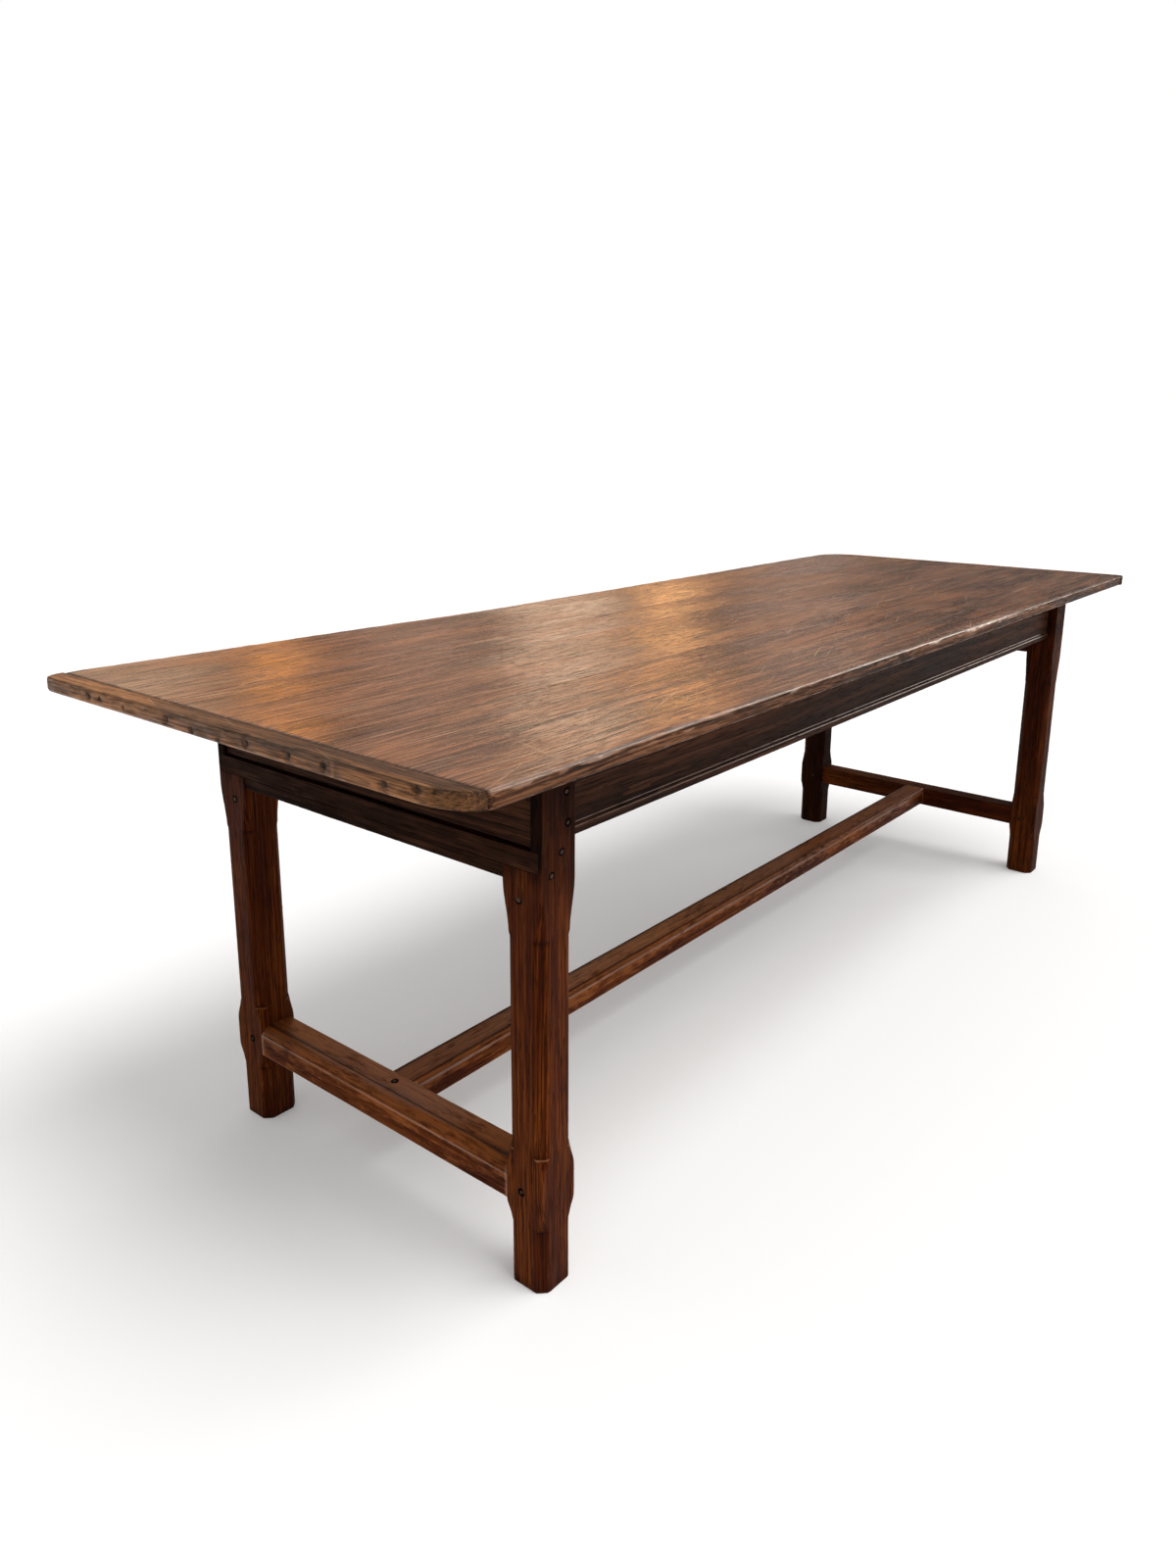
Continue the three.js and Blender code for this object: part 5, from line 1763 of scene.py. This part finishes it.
for index, label in enumerate(("front", "second", "third", "back")):
    near = plank_lines[index] + PLANK_SEAM / 2
    far = plank_lines[index + 1] - PLANK_SEAM / 2
    near_edge = np.full(len(plank_stations), near)
    far_edge = np.full(len(plank_stations), far)
    first, last = SEAM_STEPS, SEAM_STEPS
    if index == 0:
        near_edge = np.interp(plank_stations, FRONT_EDGE[:, 0], FRONT_EDGE[:, 1])
        first = EDGE_STEPS
    if index == 3:
        far_edge = np.interp(plank_stations, BACK_EDGE[:, 0], BACK_EDGE[:, 1])
        last = EDGE_STEPS
    cracks_here = [c[0] - near_edge.min() for c in CRACKS if near < c[0] < far]
    extra = [c + d * CRACK_HALF_WIDTH for c in cracks_here for d in (-1, 0, 1)]
    name = f"oak_top_plank_{label}"
    points, faces = board_loft(
        plank_stations, near_edge, far_edge, first, last, PLANK_SPACING, extra
    )
    points, grime, rub_and_edge_highlight = wear_plank(points, index)
    points[:, 1] += TOP_SHIFT
    mesh = mesh_from(name, points, faces)
    age(mesh, "x", grime, trodden_and_highlight=rub_and_edge_highlight)
    plank = new_object(name, mesh)
    settle(plank, "oak_top", "table", f"top_plank_{label}")
    print("dull side faces:", dull_side_faces(mesh, axis=1))

# %% [markdown]
# ## The breadboard ends
#
# A board across each end keeps the planks flat. At the drawer end its face has been knocked
# for two hundred years: pits and bruises along the middle of the edge, and a dark hollow
# round each nail where the iron stained the oak.

# %% Wear on a breadboard end
NAIL_SHARES = [-0.35, -0.15, -0.05, 0.16, 0.4]
NAIL_LEVEL = (TOP_LEVEL + UNDER_LEVEL) / 2
nail_places = [share * 2 * TOP_HALF_WIDTH for share in NAIL_SHARES]
NAIL_HOLLOW = (0.008, 0.0018)  # radius and depth of the pit round a nail
CLEAT_SINK = 0.0009
KNOCKS = {  # at each end: y, level, radius and depth of a pit
    -1: [
        (0.340, 0.761, 0.004, 0.0020),
        (0.305, 0.759, 0.004, 0.0022),
        (0.242, 0.756, 0.003, 0.0016),
        (0.075, 0.752, 0.005, 0.0024),
        (0.016, 0.751, 0.004, 0.0020),
        (-0.192, 0.758, 0.006, 0.0030),
        (-0.345, 0.762, 0.008, 0.0034),
        (-0.368, 0.765, 0.006, 0.0030),
    ],
    1: [
        (0.220, 0.757, 0.008, 0.0030),
        (-0.080, 0.761, 0.007, 0.0028),
        (-0.260, 0.756, 0.009, 0.0032),
    ],
}


def wear_cleat(points, end):
    """Rounds and knocks one breadboard end; returns its points and its grime."""
    x, y, z = points.T
    edge_line = FAR_END_EDGE if end > 0 else DRAWER_END_EDGE
    edge = np.interp(y, edge_line[:, 1], edge_line[:, 0])
    below = TOP_LEVEL - z
    depth_in = (edge - x) * end
    moved = points.copy()
    along_y = np.column_stack([y, np.full(len(y), 9.0 + end), np.zeros(len(y))])
    knock = wander(along_y, 0.03, 5 + end)
    slow = wander(along_y, 0.16, 25 + end)
    wide = np.clip(0.0048 + 0.0022 * knock + 0.0015 * slow, 0.002, 0.010)
    deep = np.clip(0.0042 + 0.0020 * knock + 0.0012 * slow, 0.002, 0.009)
    inwards, downwards = round_arris(depth_in, below, wide, deep)
    moved[:, 0] -= end * inwards
    moved[:, 2] -= downwards
    under_in, under_up = round_arris(
        depth_in, THICKNESS - below, 0.0035 + 0.001 * slow, 0.0035 + 0.001 * knock
    )
    moved[:, 0] -= end * under_in
    moved[:, 2] += under_up
    spots = [(end * TOP_HALF_LENGTH, y0, z0, r, d) for y0, z0, r, d in KNOCKS[end]]
    spots += [(end * TOP_HALF_LENGTH, y0, NAIL_LEVEL, *NAIL_HOLLOW) for y0 in nail_places]
    pits, dark = gouges(points, spots)
    face = np.clip(1 - depth_in / 0.008, 0, 1)
    moved[:, 0] -= end * pits * face
    fibre = wander(points * (1.0, 0.2, 1.0), 0.005, 61) * 0.00045 + 0.0005
    moved[:, 0] -= end * np.where((depth_in < 0.0005) & (below > 0.003), fibre, 0.0)
    grime = dark * face
    joint_away = (x - end * PLANK_END) * end
    grime = np.maximum(grime, np.clip(0.9 - joint_away / 0.0022, 0, 1))
    if end < 0:
        grime = np.maximum(grime, 0.6 * np.clip((-0.335 - y) / 0.035, 0, 1))
    top_face = below < 0.001
    at_joint = np.clip(1 - joint_away / 0.002, 0, 1)
    moved[:, 2] -= top_face * (CLEAT_SINK + at_joint * 0.0006)
    return moved, grime


print("pits at the drawer end:", len(KNOCKS[-1]) + len(nail_places))

# %% [markdown]
# A breadboard end is the same loft turned a quarter: its stations run along y, and its outer
# edge follows the outline round both corners, down to nothing at each tip.

# %% The two breadboard ends
CLEAT_EDGE_STEPS = EDGE_STEPS[:5]
CLEAT_STATION_SPACING = 0.003
CLEAT_SPACING = 0.004
for label, end in (("drawer", -1), ("far", 1)):
    edge_line = FAR_END_EDGE if end > 0 else DRAWER_END_EDGE
    fine = np.linspace(-TOP_HALF_WIDTH, TOP_HALF_WIDTH + FLARE, 2400)
    reach = np.interp(fine, edge_line[:, 1], edge_line[:, 0])
    inside = fine[(reach * end > PLANK_END) & (fine < edge_line[:, 1].max())]
    count = int(np.ptp(inside) / CLEAT_STATION_SPACING)
    stations = np.linspace(inside.min(), inside.max(), count)
    ends = stations[0] + (stations[-1] - stations[0]) * np.array([0.0004, 0.0015])
    stations = np.sort(np.concatenate([stations, ends]))
    outer_edge = np.abs(np.interp(stations, edge_line[:, 1], edge_line[:, 0]))
    inner_edge = np.full(len(stations), PLANK_END)
    name = f"oak_breadboard_end_{label}"
    points, faces = board_loft(
        stations,
        inner_edge,
        np.maximum(outer_edge, PLANK_END + 0.0002),
        SEAM_STEPS,
        CLEAT_EDGE_STEPS,
        CLEAT_SPACING,
    )
    points = points[:, [1, 0, 2]] * (end, 1, 1)
    points, grime = wear_cleat(points, end)
    points[:, 1] += TOP_SHIFT
    mesh = mesh_from(name, points, faces)
    age(mesh, "y", grime, handled=0.75)
    settle(new_object(name, mesh), "oak_cleat", "table", f"breadboard_end_{label}")

# %% [markdown]
# ## Pegs and nails, set out by Geometry Nodes
#
# A joiner rives pegs from straight oak and drives them in while they are still eight-sided,
# so each head is a slightly different octagon that stands a hair proud. One tree sets a peg
# on every point of a small mesh: each point carries the direction it was driven in, its
# radius and its length. A random turn and a little noise keep any two from being alike.

# %% Geometry tree: driven pegs, one peg
PEG_INPUTS = (
    ("Points", "NodeSocketGeometry", None),
    ("Sides", "NodeSocketInt", 8),
    ("Dome", "NodeSocketFloat", 0.10),
    ("Unevenness", "NodeSocketFloat", 0.12),
    ("Turn", "NodeSocketFloat", 0.6),
    ("Collar", "NodeSocketFloat", 0.5),
    ("Collar Step", "NodeSocketFloat", 0.0011),
    ("Seed", "NodeSocketInt", 4),
    ("Finish", "NodeSocketMaterial", None),
)
peg_tree, w, given, result = new_group(
    "driven pegs", "GeometryNodeTree", PEG_INPUTS, (("Geometry", "NodeSocketGeometry"),)
)
UNIT_STICK = {"Radius": 1.0, "Depth": 1.0}
stick = w.node(
    "GeometryNodeMeshCylinder",
    UNIT_STICK | {"Vertices": given["Sides"], "Side Segments": 2, "Fill Segments": 3},
)
spot = w.node("ShaderNodeSeparateXYZ", {0: w.node("GeometryNodeInputPosition").outputs[0]})
squares = [w.math("POWER", spot.outputs[i], 2.0) for i in (0, 1)]
from_axis = w.math("POWER", w.plus(*squares), 1.5)
on_head = w.math("GREATER_THAN", spot.outputs[2], 0.49)
fall = w.times(w.times(from_axis, given["Dome"]), on_head)
drop = w.node("ShaderNodeCombineXYZ", {"Z": w.times(fall, -1.0)})
domed = w.node(
    "GeometryNodeSetPosition", {"Geometry": stick.outputs["Mesh"], "Offset": drop.outputs[0]}
)
print("tree:", peg_tree.name, len(PEG_INPUTS), "inputs")


# %% [markdown]
# Instance on Points sets the peg on every point. The rotation turns the peg's own upright to
# the direction it was driven in, and then spins it about that by a random angle.

# %% Turn and drive the pegs
def point_value(name, kind="FLOAT"):
    """Reads an attribute of the points that the pegs are set on."""
    reader = w.node("GeometryNodeInputNamedAttribute", {"Name": name}, data_type=kind)
    return reader.outputs["Attribute"]


length = point_value("length")
radius = point_value("radius")
size = w.node("ShaderNodeCombineXYZ", {"X": radius, "Y": radius, "Z": length})
aimed = w.node(
    "FunctionNodeAlignRotationToVector",
    {"Vector": point_value("outwards", "FLOAT_VECTOR")},
    axis="Z",
)
spin = w.node("FunctionNodeRandomValue", {"Seed": given["Seed"]}, data_type="FLOAT")
w.fill(spin.inputs[3], given["Turn"])
spin_about = w.node("ShaderNodeCombineXYZ", {"Z": spin.outputs[1]})
turned = w.node(
    "FunctionNodeRotateRotation",
    {"Rotation": aimed.outputs[0], "Rotate By": spin_about.outputs[0]},
    rotation_space="LOCAL",
)
driven = w.node(
    "GeometryNodeInstanceOnPoints",
    {
        "Points": given["Points"],
        "Instance": domed.outputs[0],
        "Rotation": turned.outputs[0],
        "Scale": size.outputs[0],
    },
)
print("pegs wired")

# %% [markdown]
# Round each peg lies a thin dark collar, painted shade for the gap round the peg. The collar
# is a shorter and wider stick marked by an attribute.
# Both kinds are joined and realized, and a little noise then makes every head a bit uneven.

# %% Add the collars and whittle
ring_stick = w.node(
    "GeometryNodeMeshCylinder",
    UNIT_STICK | {"Vertices": 20, "Side Segments": 1, "Fill Segments": 1},
)
marked = w.node(
    "GeometryNodeStoreNamedAttribute",
    {"Geometry": ring_stick.outputs["Mesh"], "Name": "collar", "Value": 1.0},
    data_type="FLOAT",
)
collar_radius = w.times(radius, given["Collar"])
shorter = w.minus(length, w.times(given["Collar Step"], 2.0))
collar_size = w.node(
    "ShaderNodeCombineXYZ", {"X": collar_radius, "Y": collar_radius, "Z": shorter}
)
shade_collars = w.node(
    "GeometryNodeInstanceOnPoints",
    {
        "Points": given["Points"],
        "Instance": marked.outputs[0],
        "Rotation": turned.outputs[0],
        "Scale": collar_size.outputs[0],
    },
)
both = w.node("GeometryNodeJoinGeometry")
w.fill(both.inputs[0], shade_collars.outputs[0])
w.fill(both.inputs[0], driven.outputs[0])
whole = w.node("GeometryNodeRealizeInstances", {"Geometry": both.outputs[0]})
rough = w.node(
    "ShaderNodeTexNoise",
    {"Vector": w.node("GeometryNodeInputPosition").outputs[0], "Scale": 180.0, "Detail": 1.0},
)
away = w.vector("SUBTRACT", rough.outputs["Color"], (0.5, 0.5, 0.5))
shove = w.node("ShaderNodeVectorMath", operation="SCALE")
w.fill(shove.inputs[0], away)
w.fill(shove.inputs["Scale"], w.times(given["Unevenness"], 0.008))
whittled = w.node(
    "GeometryNodeSetPosition", {"Geometry": whole.outputs[0], "Offset": shove.outputs[0]}
)
coated = w.node(
    "GeometryNodeSetMaterial",
    {"Geometry": whittled.outputs[0], "Material": given["Finish"]},
)
w.fill(result["Geometry"], coated.outputs[0])
print("tree:", peg_tree.name, len(peg_tree.nodes), "nodes")


# %% [markdown]
# The CAD already has a solid for each peg and nail, so the centre, the size and the axis of
# each come from that solid's box. One mesh then stands for all the pegs and one for all the
# nails, because they stay with the table and share a finish.

# %% Drive the pegs and the nails
def longest_axis(low, high):
    """A peg lies along its longest side and is driven in from the nearer outer face."""
    size = high - low
    axis = max(range(3), key=lambda i: size[i])
    if axis == 2:
        return 2, 1
    middle = (low + high) / 2
    centre = (0.0, middle_y)
    return axis, 1 if middle[axis] > centre[axis] else -1


def driven_from(nodes):
    """Centres, directions, radii and lengths of the CAD's pegs, read from their boxes."""
    centres, outwards, radii, lengths = [], [], [], []
    for node in nodes:
        low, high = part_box(node)
        axis, sign = longest_axis(low, high)
        size = high - low
        direction = Vector((0, 0, 0))
        direction[axis] = sign
        across = [size[i] for i in range(3) if i != axis]
        centres.append((low + high) / 2)
        outwards.append(direction)
        radii.append(sum(across) / 4)
        lengths.append(size[axis])
    return centres, outwards, radii, lengths


def drive(name, nodes, slot, values):
    """One mesh of driven pieces that stands for all of these nodes."""
    centres, outwards, radii, lengths = driven_from(nodes)
    mesh = bpy.data.meshes.new("points")
    mesh.from_pydata(centres, [], [])
    store(mesh, "outwards", "FLOAT_VECTOR", [tuple(v) for v in outwards])
    store(mesh, "radius", "FLOAT", radii)
    store(mesh, "length", "FLOAT", lengths)
    holder = new_object("driven", mesh)
    attach_tree(holder, peg_tree, values | {"Finish": FINISHES[slot]})
    made = plain_copy(holder, name)
    # the collars are darkened as painted shade
    ring = np.zeros(len(made.vertices), np.float32)
    made.attributes["collar"].data.foreach_get("value", ring)
    for leftover in ("outwards", "radius", "length", "collar"):
        if leftover in made.attributes:
            made.attributes.remove(made.attributes[leftover])
    age(made, "y", ring)
    settle(new_object(name, made), slot, "table", *nodes, smooth=False)


PEG_LOOKS = {"Seed": 4, "Turn": 0.7, "Collar": 1.2}
NAIL_LOOKS = {"Sides": 6, "Dome": 0.03, "Unevenness": 0.35, "Seed": 9, "Turn": 3.0}
all_pegs = sorted(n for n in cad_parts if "peg" in n or "plug" in n)
drive("oak_pegs", all_pegs, "oak_peg", PEG_LOOKS)
all_nails = sorted(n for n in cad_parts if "nail" in n)
drive("iron_nails", all_nails, "iron", NAIL_LOOKS)

# %% [markdown]
# ## The drawer and what it runs on
#
# The drawer and its runners are cut joinery, and their shapes are already right. A copy of
# each CAD mesh is merged, its flat faces are joined again, and a narrow Bevel eases its
# arrises. That keeps every dovetail and groove where the joiner cut it.

# %% Ease the cut joinery
EASE = 0.0009
SHADE_UNDERNEATH = 0.8


def eased_copy(node, name):
    """A copy of a CAD mesh with its arrises eased."""
    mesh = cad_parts[node].data.copy()
    body = bmesh.new()
    body.from_mesh(mesh)
    bmesh.ops.remove_doubles(body, verts=body.verts, dist=1e-5)
    bmesh.ops.dissolve_limit(
        body, angle_limit=math.radians(1), verts=body.verts, edges=body.edges
    )
    body.to_mesh(mesh)
    body.free()
    obj = new_object("eased", mesh)
    bevel = obj.modifiers.new("ease", "BEVEL")
    bevel.width = EASE
    bevel.segments = 3
    bevel.limit_method = "ANGLE"
    bevel.angle_limit = math.radians(35)
    return plain_copy(obj, name)


for node, slot, axis, body_name in (
    ("drawer_front", "oak_apron", "y", "drawer"),
    ("drawer_side_front", "oak_inside", "x", "drawer"),
    ("drawer_side_back", "oak_inside", "x", "drawer"),
    ("drawer_back", "oak_inside", "y", "drawer"),
    ("drawer_bottom", "oak_inside", "y", "drawer"),
    ("drawer_runner_front", "oak_inside", "x", "table"),
    ("drawer_runner_back", "oak_inside", "x", "table"),
    ("cross_rail", "oak_inside", "y", "table"),
):
    mesh = eased_copy(node, f"oak_{node}")
    # painted shade on the runners and the cross rail, which sit under the top
    painted_shade = 0.0 if body_name == "drawer" else SHADE_UNDERNEATH
    age(mesh, axis, np.full(len(mesh.vertices), painted_shade), handled=0.0)
    settle(new_object(f"oak_{node}", mesh), slot, body_name, node, smooth=False)

# %% [markdown]
# ## The turned knob
#
# The knob is a turning, so its half outline is spun round its axis. The outline follows a
# smooth curve through a few diameters: a small foot, a neck, the belly and a flat dome.

# %% Turn the knob
KNOB_TURNS = 48
low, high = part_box("drawer_knob")
knob_axis_y, knob_axis_z = (low.y + high.y) / 2, (low.z + high.z) / 2
front_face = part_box("drawer_front")[0].x
knob_outline = [  # radius, and how far out of the drawer front
    (0.0, -0.018),
    (0.005, -0.018),
    (0.005, 0.0),
    (0.0088, 0.0),
    (0.0092, 0.0012),
    (0.0090, 0.0030),
    (0.0078, 0.0060),
    (0.0076, 0.0085),
    (0.0090, 0.0115),
    (0.0125, 0.0142),
    (0.0146, 0.0165),
    (0.0150, 0.0185),
    (0.0143, 0.0210),
    (0.0118, 0.0238),
    (0.0080, 0.0253),
    (0.0040, 0.0258),
    (0.0, 0.0260),
]
knob_points, knob_faces = [], []
for radius, out in knob_outline:
    for k in range(KNOB_TURNS):
        angle = 2 * math.pi * k / KNOB_TURNS
        knob_points.append(
            (
                front_face - out,
                knob_axis_y + radius * math.cos(angle),
                knob_axis_z + radius * math.sin(angle),
            )
        )
for i in range(len(knob_outline) - 1):
    for k in range(KNOB_TURNS):
        following = (k + 1) % KNOB_TURNS
        a, b = i * KNOB_TURNS, (i + 1) * KNOB_TURNS
        knob_faces.append((a + k, a + following, b + following, b + k))
knob_mesh = bpy.data.meshes.new("oak_drawer_knob")
knob_mesh.from_pydata(knob_points, [], knob_faces)
face_outwards(knob_mesh, merge=1e-6)
age(knob_mesh, "x", handled=0.45)
settle(new_object("oak_drawer_knob", knob_mesh), "oak_frame", "drawer", "drawer_knob")

# %% [markdown]
# ## The studio
#
# A pale floor, a white surround and soft light from the camera's right. The world is white
# to the camera and to reflections, and gentler as a lamp, so the background stays plain
# without flooding the wood. The photograph's top mirrors dark walls with tall bright gaps
# between them, so a ring of dark cloths with gaps hangs round the set, seen by reflections
# alone.

# %% The floor
bpy.context.scene.view_settings.view_transform = "Standard"
FLOOR_HALF = 150.0
FLOOR_LIFT = 0.15


def seen_directly(wire):
    """1 for a ray from the camera, off a gloss or through glass, and 0 for soft light."""
    rays = wire.node("ShaderNodeLightPath").outputs
    seen = wire.math("MAXIMUM", rays["Is Camera Ray"], rays["Is Glossy Ray"])
    return wire.math("MAXIMUM", seen, rays["Is Transmission Ray"])


def mixed(wire, factor, first, second):
    """Two shaders mixed by a factor."""
    mixer = wire.node("ShaderNodeMixShader")
    for socket, value in zip(mixer.inputs, (factor, first, second)):
        wire.fill(socket, value)
    return mixer.outputs[0]


floor_mesh = bpy.data.meshes.new("floor")
floor_mesh.from_pydata(
    [(x, y, 0) for x, y in ((-1, -1), (1, -1), (1, 1), (-1, 1))], [], [(0, 1, 2, 3)]
)
floor_mesh.transform(Matrix.Scale(FLOOR_HALF, 4))
floor = new_object("floor", floor_mesh)
floor_finish, w = new_finish("pale floor")
floor_surface = w.node(
    "ShaderNodeBsdfDiffuse", {"Color": (0.90, 0.90, 0.90, 1), "Roughness": 0.0}
)
lift = w.node("ShaderNodeEmission", {"Color": (1, 1, 1, 1), "Strength": FLOOR_LIFT})
dark = w.node("ShaderNodeEmission", {"Strength": 0.0})
total = w.node("ShaderNodeAddShader")
w.fill(total.inputs[0], floor_surface.outputs[0])
w.fill(total.inputs[1], mixed(w, seen_directly(w), dark.outputs[0], lift.outputs[0]))
w.fill(w.node("ShaderNodeOutputMaterial").inputs["Surface"], total.outputs[0])
floor_mesh.materials.append(floor_finish)
print("floor, m across:", 2 * FLOOR_HALF)

# %% [markdown]
# The world has two strengths. As a lamp it is a gentle fill, and to the eye it is white.

# %% The world
FILL_STRENGTH, WHITE = 0.55, 1.0
world = bpy.data.worlds.new("studio")
bpy.context.scene.world = world
world.use_nodes = True
world.node_tree.nodes.clear()
w = Wiring(world.node_tree)
fill_light, surround = (
    w.node("ShaderNodeBackground", {"Color": (1, 1, 1, 1), "Strength": strength})
    for strength in (FILL_STRENGTH, WHITE)
)
either = mixed(w, seen_directly(w), fill_light.outputs[0], surround.outputs[0])
w.fill(w.node("ShaderNodeOutputWorld").inputs["Surface"], either)
print("world:", world.name)


# %% [markdown]
# One wide, soft lamp stands high and slightly to the front. Its width of many degrees gives
# the shadow under the table its slow edge, as a large diffuser near the set would. A faint
# second one, low beyond the far end, only draws a bright line along the rounded front arris.

# %% Lamps
def soft_sun(name, towards, power, softness, colour=(1, 1, 1)):
    """A lamp far away, in the direction towards; softness is its width in degrees."""
    lamp = bpy.data.lights.new(name, "SUN")
    lamp.energy = power
    lamp.angle = math.radians(softness)
    lamp.color = colour
    obj = bpy.data.objects.new(name, lamp)
    bpy.context.scene.collection.objects.link(obj)
    obj.rotation_euler = Vector(towards).to_track_quat("Z", "Y").to_euler()


soft_sun("key", (0.16, -0.44, 1.0), 1.72, 34, (1.0, 0.99, 0.98))
soft_sun("edge light", (0.75, -0.28, 0.62), 0.16, 14, (1.0, 0.95, 0.88))
print("lamps: key, edge light")

# %% [markdown]
# The ring of cloths is an upright band round the set. Its gaps are places where the cloth
# is pale and warm. The pattern depends on where round the ring a point lies, which is part
# of the studio, so it stays put when the camera moves.

# %% The ring of cloths
RING_RADIUS = 40.0
RING_LEVELS = (0.0, 26.0)
RING_COLUMNS = 96
ring_points = []
for level in RING_LEVELS:
    for k in range(RING_COLUMNS):
        angle = 2 * math.pi * k / RING_COLUMNS
        ring_points.append(
            (RING_RADIUS * math.cos(angle), RING_RADIUS * math.sin(angle), level)
        )
ring_faces = []
for k in range(RING_COLUMNS):
    following = (k + 1) % RING_COLUMNS
    ring_faces.append((k, RING_COLUMNS + k, RING_COLUMNS + following, following))
ring_mesh = bpy.data.meshes.new("cloth_ring")
ring_mesh.from_pydata(ring_points, [], ring_faces)
ring = new_object("cloth_ring", ring_mesh)
ring.visible_camera = False
ring.visible_diffuse = False
ring.visible_shadow = False
ring.visible_transmission = False
print("ring of cloths, faces:", len(ring_faces))

# %% [markdown]
# A point's bearing round the ring decides its colour. The edges of the gaps waver a little
# with height, as hanging cloth does.

# %% Colour the cloths
CLOTH_COLOUR = (0.075, 0.052, 0.045, 1)
CLOTH_STRENGTH = 1.35
WAVER = 2.6
GAPS = [  # bearing and half width in degrees, strength, tint
    (68.2, 8.5, 1.0, (1.0, 0.66, 0.42)),
    (49.5, 3.0, 0.56, (1.0, 0.62, 0.45)),
    (56.6, 1.3, 1.9, (1.0, 0.39, 0.09)),
    (41.3, 2.8, 1.45, (1.0, 0.72, 0.50)),
    (35.6, 1.6, 2.0, (1.0, 0.50, 0.20)),
    (28.5, 3.0, 0.50, (1.0, 0.74, 0.60)),
    (23.2, 1.0, 0.25, (1.0, 0.60, 0.34)),
    (-18.0, 16.0, 3.0, (1.0, 0.93, 0.86)),
    (-48.0, 6.0, 0.80, (1.0, 0.88, 0.78)),
    (-75.0, 9.0, 0.90, (1.0, 0.92, 0.86)),
    (-118.0, 8.0, 0.80, (1.0, 0.88, 0.78)),
    (-150.0, 6.0, 0.80, (1.0, 0.80, 0.62)),
    (170.0, 8.0, 0.80, (1.0, 0.80, 0.62)),
    (138.0, 5.0, 0.80, (1.0, 0.74, 0.54)),
    (108.0, 13.0, 2.0, (1.0, 0.80, 0.64)),
]
cloth, w = new_finish("studio cloth")
on_ring = w.node("ShaderNodeTexCoord").outputs["Object"]
spot = w.node("ShaderNodeSeparateXYZ", {0: on_ring})
bearing = w.math("DEGREES", w.math("ARCTAN2", spot.outputs[1], spot.outputs[0]))
waver = w.noise(w.vector("MULTIPLY", on_ring, (0.1, 0.1, 0.35)), 1.0, 3.0)
waver = w.times(w.minus(waver, 0.5), WAVER)
bearing = w.plus(bearing, waver)
cloth_colour = CLOTH_COLOUR
for centre, half_width, strength, tint in GAPS:
    away = w.math("ABSOLUTE", w.minus(bearing, centre))
    here = w.soft_step(away, half_width * 0.6, half_width * 1.35, 1.0, 0.0)
    cloth_colour = w.mix(here, cloth_colour, (*(strength * part for part in tint), 1))
glow = w.node("ShaderNodeEmission", {"Color": cloth_colour, "Strength": CLOTH_STRENGTH})
w.fill(w.node("ShaderNodeOutputMaterial").inputs["Surface"], glow.outputs[0])
ring_mesh.materials.append(cloth)
print("cloth gaps:", len(GAPS))
